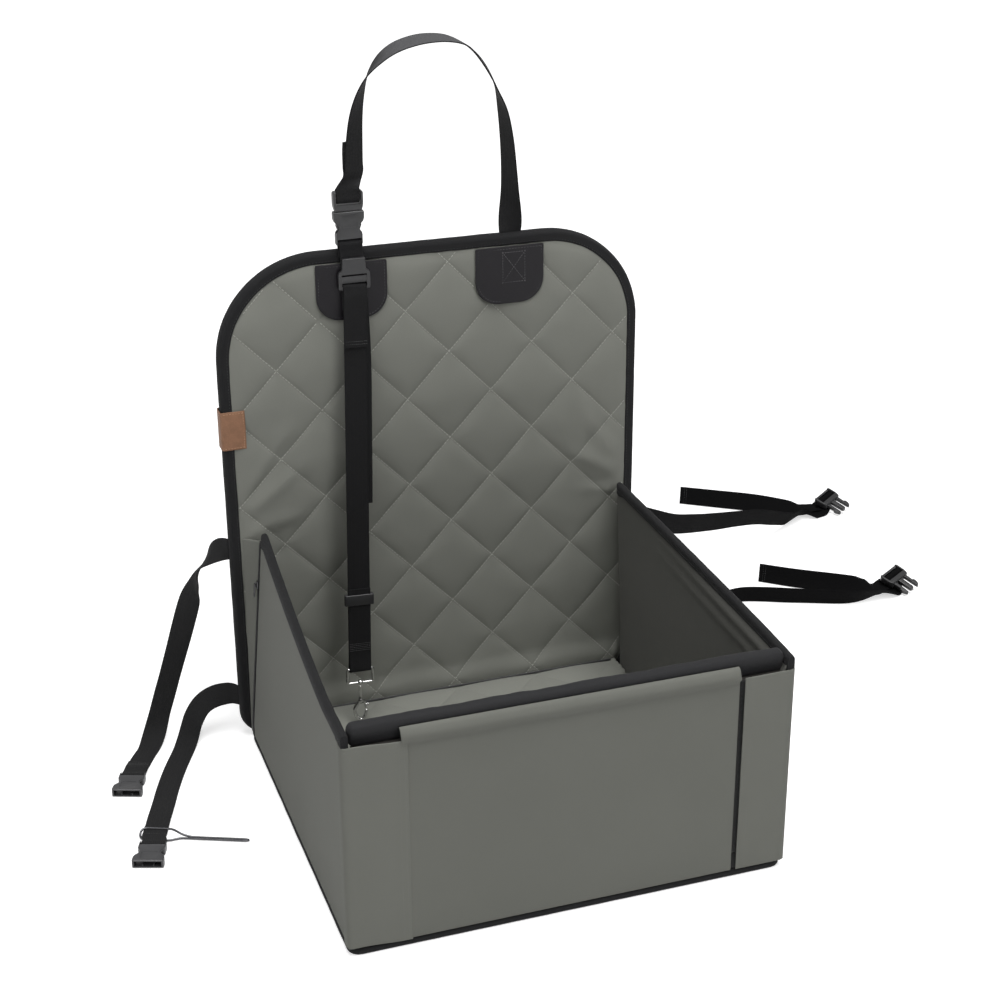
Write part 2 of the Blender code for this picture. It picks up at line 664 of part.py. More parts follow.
def make_mat():
    half = HALF_WIDTH - WALL_THICKNESS - MAT_SIDE_CLEARANCE
    low = (-half, PANEL_BACK_Y)
    high = (half, BASE_REAR_Y)
    corner = BASE_CORNER_RADIUS / 2

    def height(x, y):
        depth = min(x - low[0], high[0] - x, y - low[1], high[1] - y)
        crown = fade(depth, 0, DIAMOND_WIDTH / 4)
        return MAT_TOP - MAT_RELIEF * (1 - pillow(x, y) * crown)

    block = quilted(low, high, 0, height, MAT_FOOT - OVERRUN, flat)
    cutter = prism(rounded(low, high, (corner,) * 4, 3), MAT_FOOT, MAT_TOP + OVERRUN, flat)
    add_piece("base_mat", boolean(block, cutter, "INTERSECT"), "polyester", smooth_angle=40)


# Side walls, corner flaps and their zips

def wall_panel(side, outer, thickness):
    stations = np.linspace(WALL_FRONT_Y, WALL_REAR_Y, 10)
    grids = []
    for depth in (outer, outer + thickness):
        grid = []
        for y in stations:
            top = wall_top(y) - WALL_TAPE_HEIGHT - CLEARANCE
            grid.append([wall_point(side, depth, y, z) for z in (WALL_FOOT, MAT_TOP, top)])
        grids.append(grid)
    return slab(*grids)


def wall_tape(side):
    """The binding along a wall's top edge, rounded above."""
    rings = []
    for y in np.linspace(WALL_FRONT_Y, WALL_REAR_Y, 10):
        top = wall_top(y)
        foot = top - WALL_TAPE_HEIGHT
        section = rounded((0, foot), (WALL_THICKNESS, top), (0, 0, WALL_TAPE_ROUNDING, WALL_TAPE_ROUNDING), 3)
        section = section[3:5] + section[8:]
        rings.append([wall_point(side, depth, y, z) for depth, z in section])
    return sweep(rings)


def make_wall(side, name):
    joint = name + "_wall"
    add_joint(joint, (side * (HALF_WIDTH + CLEARANCE), 0, BASE_TAPE_HEIGHT))
    foam = WALL_SKIN + CLEARANCE
    lining = foam + WALL_FOAM + CLEARANCE
    add_piece(joint + "_outer", wall_panel(side, 0, WALL_SKIN), "polyester", joint)
    add_piece(joint + "_board", wall_panel(side, foam, WALL_FOAM), "foam", joint)
    add_piece(joint + "_lining", wall_panel(side, lining, WALL_LINING), "lining", joint)
    add_piece(joint + "_binding", wall_tape(side), "tape", joint, 50)


def make_flap(side, name, width):
    joint = name + "_flap"
    add_joint(joint, (side * HALF_WIDTH, FRONT_Y, 0))
    edges = sorted((side * HALF_WIDTH, side * (HALF_WIDTH - width)))
    add_piece(joint, box((edges[0], FRONT_Y, WALL_FOOT), (edges[1], FLAP_BACK_Y, FLAP_TOP)), "polyester", joint)
    edge = COVER_LEFT_EDGE if side < 0 else COVER_RIGHT_EDGE
    inner = max(edge + CLEARANCE, HALF_WIDTH - width) + CLEARANCE
    edges = sorted((side * inner, side * (inner + HOOK_STRIP_WIDTH)))
    low = (edges[0], WALL_FRONT_Y, PANEL_FOOT)
    high = (edges[1], WALL_FRONT_Y + HOOK_THICKNESS, PANEL_TOP)
    add_piece(name + "_hook_strip", box(low, high), "hook_tape", joint)


def zip_x(side, depth, z):
    return wall_point(side, depth, WALL_REAR_Y, z).x


def make_zip(side, name):
    """The wall's zip tape, the gusset on the backrest, the slider and its pull."""
    heights = (WALL_FOOT, MAT_TOP, GUSSET_TOP)
    tape_front = WALL_REAR_Y + CLEARANCE
    tape_rear = tape_front + ZIP_TAPE_WIDTH
    grids = []
    for depth in (0, ZIP_TAPE_THICKNESS):
        grids.append([[Vector((zip_x(side, depth, z), y, z)) for z in heights] for y in (tape_front, tape_rear)])
    add_piece(name + "_zip_tape", slab(*grids), "tape", name + "_wall")

    gusset_front = tape_rear + CLEARANCE
    rear_lean = lean(side, WALL_REAR_Y, GUSSET_TOP) * GUSSET_REAR_INSET_SHARE
    grids = []
    for depth in (0, GUSSET_THICKNESS):
        front = [Vector((zip_x(side, depth, z), gusset_front, z)) for z in heights]
        rear = []
        for z in heights:
            share = max(0, z - MAT_TOP) / (GUSSET_TOP - MAT_TOP)
            rear.append(Vector((side * (HALF_WIDTH - depth - rear_lean * share), GUSSET_REAR_Y, z)))
        grids.append([front, rear])
    add_piece(name + "_gusset", slab(*grids), "polyester", "backrest")
    make_slider(side, name, tape_front)


def zip_direction(side):
    top = Vector((zip_x(side, 0, GUSSET_TOP), WALL_REAR_Y, GUSSET_TOP))
    foot = Vector((zip_x(side, 0, MAT_TOP), WALL_REAR_Y, MAT_TOP))
    return (foot - top).normalized()


def make_slider(side, name, tape_front):
    """The slider lies on the zip's outer face and its pull hangs from it."""
    down = zip_direction(side)
    inward = Vector((0, 1, 0))
    outward = down.cross(inward) * side
    middle_y = tape_front + ZIP_TAPE_WIDTH - SLIDER_WIDTH / 2
    seat = Vector((zip_x(side, 0, SLIDER_HEIGHT), middle_y, SLIDER_HEIGHT)) + outward * 2 * CLEARANCE
    add_joint(name + "_zip_slider", seat)
    place = Matrix.Translation(seat) @ Matrix((inward, down, outward)).transposed().to_4x4()
    outline = mirrored(SLIDER_OUTLINE_SHARES, SLIDER_WIDTH / 2, SLIDER_LENGTH)
    body = prism(outline, 0, SLIDER_THICKNESS, flat, SLIDER_CHAMFER)
    add_piece(name + "_zip_slider", moved(body, place), "steel", name + "_zip_slider")

    pivot = seat + outward * (SLIDER_THICKNESS + CLEARANCE) + down * SLIDER_LENGTH * PULL_PLACE_SHARE
    add_joint(name + "_zip_pull", pivot)
    place = Matrix.Translation(pivot) @ Matrix((inward, down, outward)).transposed().to_4x4()
    half = PULL_WIDTH / 2
    plate = prism(rounded((-half, 0), (half, PULL_LENGTH), (half / 2,) * 4, 2), 0, PULL_THICKNESS, flat)
    add_piece(name + "_zip_pull", moved(plate, place), "steel", name + "_zip_pull")


# Front panel

def make_front_panel():
    joint = "front_panel"
    add_joint(joint, (0, PANEL_BACK_Y, MAT_TOP + SILL_RISE / 2))
    sill = box((-PANEL_HALF, COVER_BACK_Y - COVER_PAD / 2, WALL_FOOT), (PANEL_HALF, PANEL_BACK_Y - CLEARANCE, SILL_TOP))
    add_piece("front_sill", sill, "polyester")

    low = (-COVER_LEFT_EDGE, WALL_FRONT_Y, PANEL_FOOT)
    add_piece("front_cover", box(low, (COVER_RIGHT_EDGE, COVER_BACK_Y, COVER_TOP)), "polyester", joint)
    low = (-PANEL_HALF, BOARD_FRONT_Y, PANEL_FOOT)
    add_piece("front_board", box(low, (PANEL_HALF, BOARD_BACK_Y, PANEL_TOP)), "board", joint)
    low = (-PANEL_HALF, BOARD_BACK_Y + CLEARANCE, PANEL_FOOT)
    add_piece("front_lining", box(low, (PANEL_HALF, LINING_BACK_Y, PANEL_TOP)), "lining", joint)

    section = rounded((BOARD_FRONT_Y, PANEL_TOP + CLEARANCE), (PANEL_BACK_Y, ROLL_TOP), (ROLL_ROUNDING,) * 4, 4)
    rings = []
    for x, amount in ((-PANEL_HALF, 1), (ROLL_ROUNDING / 2 - PANEL_HALF, 0),
                      (PANEL_HALF - ROLL_ROUNDING / 2, 0), (PANEL_HALF, 1)):
        ring = inset(section, amount * ROLL_ROUNDING / 3)
        rings.append([Vector((x, u, v)) for u, v in ring])
    add_piece("front_roll", sweep(rings), "tape", joint, 50)
    make_loop_strips(joint)


def make_loop_strips(joint):
    """The two strips on the panel that the corner flaps' hook strips press on."""
    front = WALL_FRONT_Y + HOOK_THICKNESS + CLEARANCE
    for side, name, edge in ((-1, "left", COVER_LEFT_EDGE), (1, "right", COVER_RIGHT_EDGE)):
        edges = sorted((side * (edge + CLEARANCE), side * PANEL_HALF))
        strip = box((edges[0], front, PANEL_FOOT), (edges[1], front + LOOP_THICKNESS, PANEL_TOP))
        add_piece(name + "_loop_strip", strip, "hook_tape", joint)


# Backrest

def make_backrest():
    joint = "backrest"
    add_joint(joint, (0, REAR_REACH, 0))
    edge = BACK_TAPE_WALL + CLEARANCE
    rear = REAR_REACH - BACK_TAPE_WALL - CLEARANCE
    cover = prism(backrest_outline(edge), rear - REAR_COVER_THICKNESS, rear, across_y)
    add_piece("back_rear_cover", cover, "lining", joint)
    rear -= REAR_COVER_THICKNESS + CLEARANCE
    board = prism(backrest_outline(edge), rear - BACK_BOARD_THICKNESS, rear, across_y)
    add_piece("back_board", board, "board", joint)
    make_back_tape(joint)
    make_quilt(joint, edge)


def make_back_tape(joint):
    """A U of binding round the whole edge."""
    wall = BACK_TAPE_WALL
    corner = BACK_TAPE_CORNER
    section = ((corner, BACK_TAPE_FRONT), (BACK_TAPE_WIDTH, BACK_TAPE_FRONT),
               (BACK_TAPE_WIDTH, BACK_TAPE_FRONT + wall), (wall, BACK_TAPE_FRONT + wall),
               (wall, REAR_REACH - wall), (BACK_TAPE_WIDTH, REAR_REACH - wall),
               (BACK_TAPE_WIDTH, REAR_REACH), (corner, REAR_REACH), (0, REAR_REACH - corner),
               (0, BACK_TAPE_FRONT + corner))
    loops = [[across_y(u, v, y) for u, v in backrest_outline(amount)] for amount, y in section]
    add_piece("back_binding", sweep(loops, closed=True), "tape", joint, 40)


def make_quilt(joint, edge):
    low = (-BACK_HALF + edge, edge)
    high = (BACK_HALF - edge, BACKREST_HEIGHT - edge)
    foot = BACKREST_FOOT_RADIUS - edge
    head = BACKREST_TOP_RADIUS - edge
    start = BACKREST_HEIGHT - LATTICE_DROP
    rim = BACK_TAPE_WIDTH + DIAMOND_HEIGHT / 2 / STEPS_PER_HALF

    def height(x, z):
        depth = rounded_depth(x, z, low, high, foot, head)
        return QUILT_FACE - QUILT_RELIEF * pillow(x, z - start) * fade(depth, rim, BACK_TAPE_WIDTH)

    block = quilted(low, high, start, height, QUILT_REAR + OVERRUN, across_y)
    cutter = prism(backrest_outline(edge), QUILT_CROWN - OVERRUN, QUILT_REAR, across_y)
    add_piece("back_quilt", boolean(block, cutter, "INTERSECT"), "polyester", joint, 40)


def make_patches():
    top = BACKREST_HEIGHT - BACK_TAPE_WIDTH - CLEARANCE
    corner = PATCH_THICKNESS
    for name, centre in (("left_patch", LEFT_PATCH_CENTRE), ("right_patch", RIGHT_PATCH_CENTRE)):
        low = (centre - PATCH_WIDTH / 2, PATCH_FOOT)
        high = (centre + PATCH_WIDTH / 2, top)
        outline = rounded(low, high, (PATCH_RADIUS, PATCH_RADIUS, corner, corner), 5)
        patch = prism(outline, PATCH_FACE, PATCH_FACE + PATCH_THICKNESS, across_y)
        add_piece(name, patch, "leather", "backrest")


def make_label():
    """A folded leather tab over the backrest's left edge."""
    wall = LABEL_THICKNESS
    front = BACK_TAPE_FRONT - CLEARANCE
    rear = REAR_REACH + CLEARANCE
    side = -BACK_HALF - CLEARANCE
    inner = -BACK_HALF + LABEL_WIDTH - wall
    section = ((side - wall, front - wall), (inner, front - wall), (inner, front), (side, front),
               (side, rear), (inner, rear), (inner, rear + wall), (side - wall, rear + wall))
    rings = [[Vector((x, y, z)) for x, y in section] for z in (LABEL_FOOT, LABEL_FOOT + LABEL_HEIGHT)]
    add_piece("label", sweep(rings), "label_leather", "backrest")


# Side release buckles, with x across, y from the strap to the mouth and z up from the lower face

def female_buckle():
    half = BUCKLE_WIDTH / 2
    shell = prism(mirrored(FEMALE_OUTLINE_SHARES, half, FEMALE_LENGTH), 0, BUCKLE_THICKNESS, flat, BUCKLE_CHAMFER)
    start = FEMALE_LENGTH * (1 - CAVITY_DEPTH_SHARE)
    cavity = box((-half * CAVITY_SHARE, start, BUCKLE_WALL),
                 (half * CAVITY_SHARE, FEMALE_LENGTH + OVERRUN, BUCKLE_THICKNESS - BUCKLE_WALL))
    shell = boolean(shell, cavity, "DIFFERENCE")
    slot = box((-BUCKLE_SLOT_WIDTH / 2, BUCKLE_BAR, -OVERRUN),
               (BUCKLE_SLOT_WIDTH / 2, BUCKLE_BAR + BUCKLE_SLOT_LENGTH, BUCKLE_THICKNESS + OVERRUN))
    return boolean(shell, slot, "DIFFERENCE")


def male_buckle():
    """The frame runs from y = 0 to its length, and the tongue and two arms stand out of it."""
    half = BUCKLE_WIDTH / 2
    frame = prism(mirrored(MALE_FRAME_SHARES, half, MALE_FRAME_LENGTH), 0, BUCKLE_THICKNESS, flat, BUCKLE_CHAMFER)
    tip = MALE_FRAME_LENGTH + MALE_PRONG_LENGTH
    root = MALE_FRAME_LENGTH - BUCKLE_BAR
    low = BUCKLE_WALL + 2 * CLEARANCE
    high = BUCKLE_THICKNESS - low
    arm = (half * ARM_INNER_SHARE, half * CAVITY_SHARE - 2 * CLEARANCE)
    tongue = half * TONGUE_SHARE
    for edges in ((-arm[1], -arm[0]), (-tongue, tongue), arm):
        prong = prism(rounded((edges[0], root), (edges[1], tip), (0, 0, tongue / 2, tongue / 2), 2), low, high, flat)
        bmesh.ops.remove_doubles(prong, verts=prong.verts, dist=CLEARANCE / 10)
        frame = boolean(frame, prong, "UNION")
    for start in (BUCKLE_BAR, 2 * BUCKLE_BAR + BUCKLE_SLOT_LENGTH):
        slot = box((-BUCKLE_SLOT_WIDTH / 2, start, -OVERRUN),
                   (BUCKLE_SLOT_WIDTH / 2, start + BUCKLE_SLOT_LENGTH, BUCKLE_THICKNESS + OVERRUN))
        frame = boolean(frame, slot, "DIFFERENCE")
    return frame


def upright(x, y, z, facing_up):
    """Places a buckle with its lower face at y, facing forward, lengthways up or down."""
    along = Vector((0, 0, 1 if facing_up else -1))
    across = Vector((1 if facing_up else -1, 0, 0))
    return Matrix.Translation((x, y, z)) @ Matrix((across, along, across.cross(along))).transposed().to_4x4()


def lying(place, heading, tilt=0):
    """Places a buckle on the floor along its heading, with its left edge raised by tilt."""
    turn = Matrix.Rotation(math.radians(heading - 90), 4, "Z")
    return Matrix.Translation(place) @ turn @ Matrix.Rotation(math.radians(tilt), 4, "Y")


# Headrest loop

def loop_path():
    """The loop's centreline and the direction of its width at each point."""
    left = LOOP_BUCKLE_CENTRE + LOOP_SIDE_STEP
    rows = []
    for across, up, twist in LOOP_ROUTE_SHARES:
        y = LOOP_BUCKLE_DEPTH + (LOOP_END_DEPTH - LOOP_BUCKLE_DEPTH) * across
        rows.append((left + (LOOP_RIGHT_END - left) * across, y, LOOP_FOOT + LOOP_RISE * up, twist))
    rows[-1] = (LOOP_RIGHT_END, LOOP_END_DEPTH, BACKREST_HEIGHT + 3 * CLEARANCE, 0)
    rows = smooth_rows(rows, 64)
    points = rows[:, :3]
    acrosses = []
    for along, twist in zip(directions(points), rows[:, 3]):
        plane = Vector((0, 1, 0)).cross(along).normalized()
        depth = along.cross(plane).normalized()
        angle = twist * math.pi / 2
        acrosses.append(plane * math.cos(angle) + depth * math.sin(angle))
    return points, acrosses


def loop_with_tail():
    """The loop's path with its loose end in front: down behind the left leg, round a fold and up."""
    points, acrosses = loop_path()
    gone = np.concatenate([[0], np.cumsum(np.linalg.norm(np.diff(points, axis=0), axis=1))])
    last = int(np.searchsorted(gone, LOOP_TAIL_LENGTH))
    step = WEBBING_THICKNESS + CLEARANCE
    tail = []
    for index in range(last, 0, -1):
        along = directions(points)[index]
        drift = acrosses[index] * -LOOP_TAIL_DRIFT * fade(gone[index], 0, LOOP_TAIL_LENGTH)
        tail.append(Vector(points[index]) + along.cross(acrosses[index]) * step + drift)
    foot = Vector(points[0])
    middle = foot + Vector((0, step / 2, 0))
    fold = []
    for turn in range(7):
        angle = math.pi * turn / 6
        fold.append(middle + Vector((0, math.cos(angle), -math.sin(angle))) * step / 2)
    path = tail + fold[:-1] + [Vector(point) for point in points]
    widths = acrosses[last:0:-1] + [Vector((1, 0, 0))] * len(fold) + acrosses[1:]
    return np.array(path), widths


def make_loop():
    add_joint("loop", (LOOP_BUCKLE_CENTRE, LOOP_BUCKLE_DEPTH, LOOP_BUCKLE_FOOT + FEMALE_LENGTH))
    points, acrosses = loop_with_tail()
    webbing = ribbon(points, acrosses)
    add_piece("loop_webbing", webbing, "webbing", "loop", 50)

    front = LOOP_BUCKLE_DEPTH + BUCKLE_THICKNESS / 2
    place = upright(LOOP_BUCKLE_CENTRE, front, LOOP_BUCKLE_FOOT, True)
    add_piece("loop_buckle_female", moved(female_buckle(), place), "plastic", "backrest")
    place = upright(LOOP_BUCKLE_CENTRE, front, LOOP_BUCKLE_TOP, False)
    add_piece("loop_buckle_male", moved(male_buckle(), place), "plastic", "loop")

    low = (TAB_CENTRE - WEBBING_WIDTH / 2, TAB_FACE, TAB_FOOT)
    high = (TAB_CENTRE + WEBBING_WIDTH / 2, TAB_FACE + WEBBING_THICKNESS, LOOP_BUCKLE_FOOT - CLEARANCE)
    add_piece("buckle_tab", box(low, high), "webbing", "backrest")


# Dog tether, built hanging down from its pivot: x across, y backward, z along it

def tether_place():
    down = Vector((-TETHER_SIDE_TILT, -TETHER_FRONT_TILT, -1)).normalized()
    across = Vector((1, 0, 0))
    across = (across - down * across.dot(down)).normalized()
    back = across.cross(down)
    turn = Matrix((across, back, -down)).transposed().to_4x4()
    return Matrix.Translation((TETHER_CENTRE, TETHER_DEPTH, TETHER_PIVOT_HEIGHT)) @ turn


def strip(rows, sideways=0):
    """Webbing that keeps its width across x, along (y, z) rows."""
    points = np.array([(sideways, y, z) for y, z in rows])
    return ribbon(points, [Vector((1, 0, 0))] * len(points))


def make_tether():
    place = tether_place()
    add_joint("tether", (TETHER_CENTRE, TETHER_DEPTH, TETHER_PIVOT_HEIGHT))
    lie = WEBBING_THICKNESS / 2 + CLEARANCE
    turn = EYE_WIRE + CLEARANCE + WEBBING_THICKNESS / 2
    bar = -TETHER_LENGTH + turn
    narrow = bar + 6 * turn
    top = -lie - WEBBING_THICKNESS / 2 - CLEARANCE
    rows = [(-lie, -FRONT_TAIL_LENGTH)]
    for step in range(7):
        angle = math.pi * step / 6
        rows.append((-lie * math.cos(angle), top + lie * math.sin(angle)))
    rows += [(lie, narrow)]
    for step in range(9):
        angle = math.pi * step / 8
        rows.append((turn * math.cos(angle), bar - turn * math.sin(angle)))
    rows += [(-lie, narrow), (-lie, GLIDE_LENGTH - GLIDE_PLACE)]
    add_piece("tether_webbing", moved(strip(rows), place), "webbing", "tether")

    behind = lie + WEBBING_THICKNESS + CLEARANCE
    tail = strip([(behind, top), (behind, -REAR_TAIL_LENGTH)], REAR_TAIL_OFFSET)
    add_piece("tether_tail", moved(tail, place), "webbing", "tether")
    make_adjuster()
    make_glide(place, lie)
    make_hook(place, bar)


def make_adjuster():
    """The ladder buckle that the tether hangs from, flat in front of its webbing tab."""
    half = ADJUSTER_WIDTH / 2
    outline = mirrored(ADJUSTER_OUTLINE_SHARES, half, ADJUSTER_HEIGHT)
    body = prism(outline, 0, ADJUSTER_THICKNESS, flat, BUCKLE_CHAMFER)
    slot_half = BUCKLE_SLOT_WIDTH / 2
    start = ADJUSTER_BAR
    for _ in range(2):
        slot = box((-slot_half, start, -OVERRUN), (slot_half, start + ADJUSTER_BAR, ADJUSTER_THICKNESS + OVERRUN))
        body = boolean(body, slot, "DIFFERENCE")
        start += ADJUSTER_BAR + 2 * BUCKLE_BAR
    place = upright(TETHER_CENTRE, TAB_FACE - CLEARANCE, TETHER_PIVOT_HEIGHT + CLEARANCE, True)
    add_piece("tether_adjuster", moved(body, place), "plastic", "backrest")


def make_glide(place, lie):
    """The keeper slides on the tether's two layers."""
    add_joint("tether_glide", place @ Vector((0, 0, -GLIDE_PLACE)))
    low = -GLIDE_PLACE - GLIDE_LENGTH / 2
    half = GLIDE_WIDTH / 2
    outline = rounded((-half, -GLIDE_THICKNESS / 2), (half, GLIDE_THICKNESS / 2), (GLIDE_RIM,) * 4, 2)
    body = prism(outline, low, low + GLIDE_LENGTH, flat)
    room = lie + WEBBING_THICKNESS / 2 + CLEARANCE
    hole = box((-WEBBING_WIDTH / 2 - 2 * CLEARANCE, -room, low - OVERRUN),
               (WEBBING_WIDTH / 2 + 2 * CLEARANCE, room, low + GLIDE_LENGTH + OVERRUN))
    body = boolean(body, hole, "DIFFERENCE")
    add_piece("tether_glide", moved(body, place), "plastic", "tether_glide")


def make_hook(place, bar):
    """The swivel eye in the webbing's fold, and the snap hook that turns below it."""
    half = EYE_WIDTH / 2
    foot = bar - EYE_HEIGHT
    outline = rounded((-half, foot), (half, bar), (EYE_CORNER,) * 4, 4)
    ring = tube([Vector((x, 0, z)) for x, z in outline], EYE_WIRE, 8, closed=True)
    top = foot + SWIVEL_LENGTH / 2
    low = foot - SWIVEL_LENGTH / 2
    crown = SWIVEL_RADIUS * BARREL_CROWN_SHARE
    band = SWIVEL_LENGTH * BARREL_BAND_SHARE
    profile = ((crown, low), (SWIVEL_RADIUS, low + band), (SWIVEL_RADIUS, top - band), (crown, top))
    eye = boolean(ring, turned(profile, 14, Matrix()), "UNION")
    add_piece("hook_eye", moved(eye, place), "steel", "tether", 50)

    start = low - CLEARANCE
    add_joint("hook", place @ Vector((0, 0, start)))
    profile = [(SHANK_RADIUS * wide, start - SHANK_LENGTH * down) for wide, down in SHANK_SHARES]
    end = start - SHANK_LENGTH
    rows = [(HOOK_WIDTH * x, 0, end - HOOK_HEIGHT * down) for x, down in HOOK_ROUTE_SHARES]
    bow = tube(smooth_rows(rows, 22), lambda share: HOOK_WIRE * (1 - (1 - HOOK_TIP_SHARE) * share), 8)
    body = boolean(turned(profile, 12, Matrix()), bow, "UNION")
    add_piece("hook_body", moved(body, place), "steel", "hook", 50)
    collar = max(wide for wide, down in SHANK_SHARES) * SHANK_RADIUS
    make_gate(place, end, collar, Vector(rows[-1]))


def make_gate(place, end, collar, tip):
    """A sprung gate from the collar to the hook's tip, with a thumb knob."""
    start = Vector((collar + GATE_WIRE + CLEARANCE, 0, end + collar))
    finish = tip + Vector((0, 0, GATE_WIRE + HOOK_WIRE / 2))
    add_joint("hook_gate", place @ start)
    bar = tube([start, start.lerp(finish, KNOB_PLACE_SHARE), finish], GATE_WIRE, 8)
    along = (finish - start).normalized()
    outward = along.cross(Vector((0, 1, 0)))
    seat = Matrix.Translation(start.lerp(finish, KNOB_PLACE_SHARE))
    seat = seat @ outward.to_track_quat("Z", "Y").to_matrix().to_4x4()
    knob = turned([(KNOB_RADIUS * wide, KNOB_RADIUS * up) for wide, up in KNOB_SHARES], 10, seat)
    add_piece("hook_gate", moved(boolean(bar, knob, "UNION"), place), "steel", "hook_gate", 50)


# Seat straps

def strap_points(side, height, shares, count):
    """A strap's centreline and width directions, laid no lower than the floor."""
    start = Vector((side * STRAP_SIDE, STRAP_DEPTH, 0))
    rows = []
    for x, y, z, twist in shares:
        rows.append((start.x + side * STRAP_REACH * x, start.y + STRAP_REACH * y, height * z, twist))
    rows = smooth_rows(rows, count)
    points, acrosses = rows[:, :3].copy(), []
    twists = np.clip(rows[:, 3], 0, 1)
    for index, (along, twist) in enumerate(zip(directions(points), twists)):
        up = (Vector((0, 0, 1)) - along * along.z).normalized()
        angle = twist * math.pi / 2
        across = up * math.cos(angle) + along.cross(up) * math.sin(angle)
        face = along.cross(across)
        rest = abs(across.z) * WEBBING_WIDTH / 2 + abs(face.z) * WEBBING_THICKNESS / 2
        points[index, 2] = max(points[index, 2], rest)
        acrosses.append(across)
    return points, acrosses


def make_strap(name, side, height, shares, count, end=None):
    points, acrosses = strap_points(side, height, shares, count)
    start = None
    if shares[0][0] == 0:
        start = Vector((side, 0, 0))
        acrosses[0] = Vector((0, 0, 1))
    if end:
        acrosses[-1] = end.cross(Vector((0, 0, 1)))
    add_piece(name, ribbon(points, acrosses, start, end), "webbing", smooth_angle=50)
    return Vector((points[-1][0], points[-1][1], 0))


def make_left_strap(name, height, shares, heading):
    """A strap that ends in a female buckle flat on the floor."""
    ahead = Vector((math.cos(math.radians(heading)), math.sin(math.radians(heading)), 0))
    end = make_strap(name + "_left_strap", -1, height, shares, 42, ahead)
    place = lying(end + ahead * CLEARANCE, heading)
    add_piece(name + "_left_buckle", moved(female_buckle(), place), "plastic")


def make_right_strap(name, height, shares, tail_shares, heading):
    """A strap that ends under a tilted male buckle, with its loose end folded back."""
    ahead = Vector((math.cos(math.radians(heading)), math.sin(math.radians(heading)), 0))
    end = make_strap(name + "_right_strap", 1, height, shares, 42)
    make_strap(name + "_right_tail", 1, height, tail_shares, 20)
    place = end - ahead * MALE_FRAME_LENGTH / 2
    place.z = BUCKLE_REST + math.sin(math.radians(MALE_TILT)) * BUCKLE_WIDTH / 2
    place = lying(place, heading, MALE_TILT)
    add_piece(name + "_right_buckle", moved(male_buckle(), place), "plastic")


def make_straps():
    make_left_strap("upper", UPPER_LEFT_HEIGHT, UPPER_LEFT_ROUTE_SHARES, UPPER_LEFT_HEADING)
    make_left_strap("lower", LOWER_LEFT_HEIGHT, LOWER_LEFT_ROUTE_SHARES, LOWER_LEFT_HEADING)
    make_right_strap("upper", UPPER_RIGHT_HEIGHT, UPPER_RIGHT_ROUTE_SHARES, UPPER_RIGHT_TAIL_SHARES,
                     UPPER_RIGHT_HEADING)
    make_right_strap("lower", LOWER_RIGHT_HEIGHT, LOWER_RIGHT_ROUTE_SHARES, LOWER_RIGHT_TAIL_SHARES,
                     LOWER_RIGHT_HEADING)
    make_clip()


def evenly(outline, step):
    """More points along a closed outline's sides."""
    points = []
    for (x, y), (u, v) in zip(outline, outline[1:] + outline[:1]):
        count = max(1, round(math.hypot(u - x, v - y) / step))
        points += [(x + (u - x) * part / count, y + (v - y) * part / count) for part in range(count)]
    return points


def make_clip():
    """A long closed ring of wire with one strand over the strap and one under it."""
    radius = CLIP_WIDTH / 2
    reach = CLIP_LENGTH / 2
    outline = rounded((-reach, -radius), (reach, radius), (radius,) * 4, 6)
    place = Matrix.Translation(CLIP_PLACE) @ Matrix.Rotation(math.radians(CLIP_HEADING), 4, "Z")
    ring = []
    for x, y in evenly(outline, WEBBING_WIDTH / 2):
        lift = fade(y, -radius, CLIP_WIDTH) * (1 - fade(x, radius + WEBBING_WIDTH - reach, WEBBING_WIDTH))
        ring.append(place @ Vector((x, y, CLIP_WIRE + CLIP_LIFT * lift)))
    add_joint("wire_clip", CLIP_PLACE)
    add_piece("wire_clip", tube(ring, CLIP_WIRE, 6, closed=True), "steel", "wire_clip", 60)


def make_seat():
    clear_scene()
    make_base()
    make_mat()
    make_front_panel()
    make_backrest()
    for side, name, width in ((-1, "left", LEFT_FLAP_WIDTH), (1, "right", RIGHT_FLAP_WIDTH)):
        make_wall(side, name)
        make_flap(side, name, width)
        make_zip(side, name)
    make_patches()
    make_label()
    make_loop()
    make_tether()
    make_straps()


make_seat()
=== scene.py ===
"""Looks of the dog car seat: fabrics, webbing, buckles, metal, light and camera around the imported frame."""

import math

import bmesh
import bpy
import numpy as np
from mathutils import Matrix, Vector, noise
from mathutils.bvhtree import BVHTree


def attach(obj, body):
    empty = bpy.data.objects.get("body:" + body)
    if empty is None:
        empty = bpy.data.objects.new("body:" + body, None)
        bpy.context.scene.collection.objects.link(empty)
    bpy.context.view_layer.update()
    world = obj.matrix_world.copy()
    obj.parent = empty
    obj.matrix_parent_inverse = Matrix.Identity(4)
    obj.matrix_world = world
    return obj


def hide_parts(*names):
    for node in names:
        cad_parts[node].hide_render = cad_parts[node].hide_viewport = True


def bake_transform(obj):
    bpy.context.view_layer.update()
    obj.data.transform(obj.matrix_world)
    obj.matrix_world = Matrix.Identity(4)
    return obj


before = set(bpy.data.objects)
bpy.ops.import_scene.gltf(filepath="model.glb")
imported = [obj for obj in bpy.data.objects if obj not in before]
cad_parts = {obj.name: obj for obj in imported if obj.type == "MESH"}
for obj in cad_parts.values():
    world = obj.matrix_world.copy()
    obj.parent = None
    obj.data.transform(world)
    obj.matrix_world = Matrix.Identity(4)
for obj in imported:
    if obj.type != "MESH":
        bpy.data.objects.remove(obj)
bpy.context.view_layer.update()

TAU = 2 * math.pi

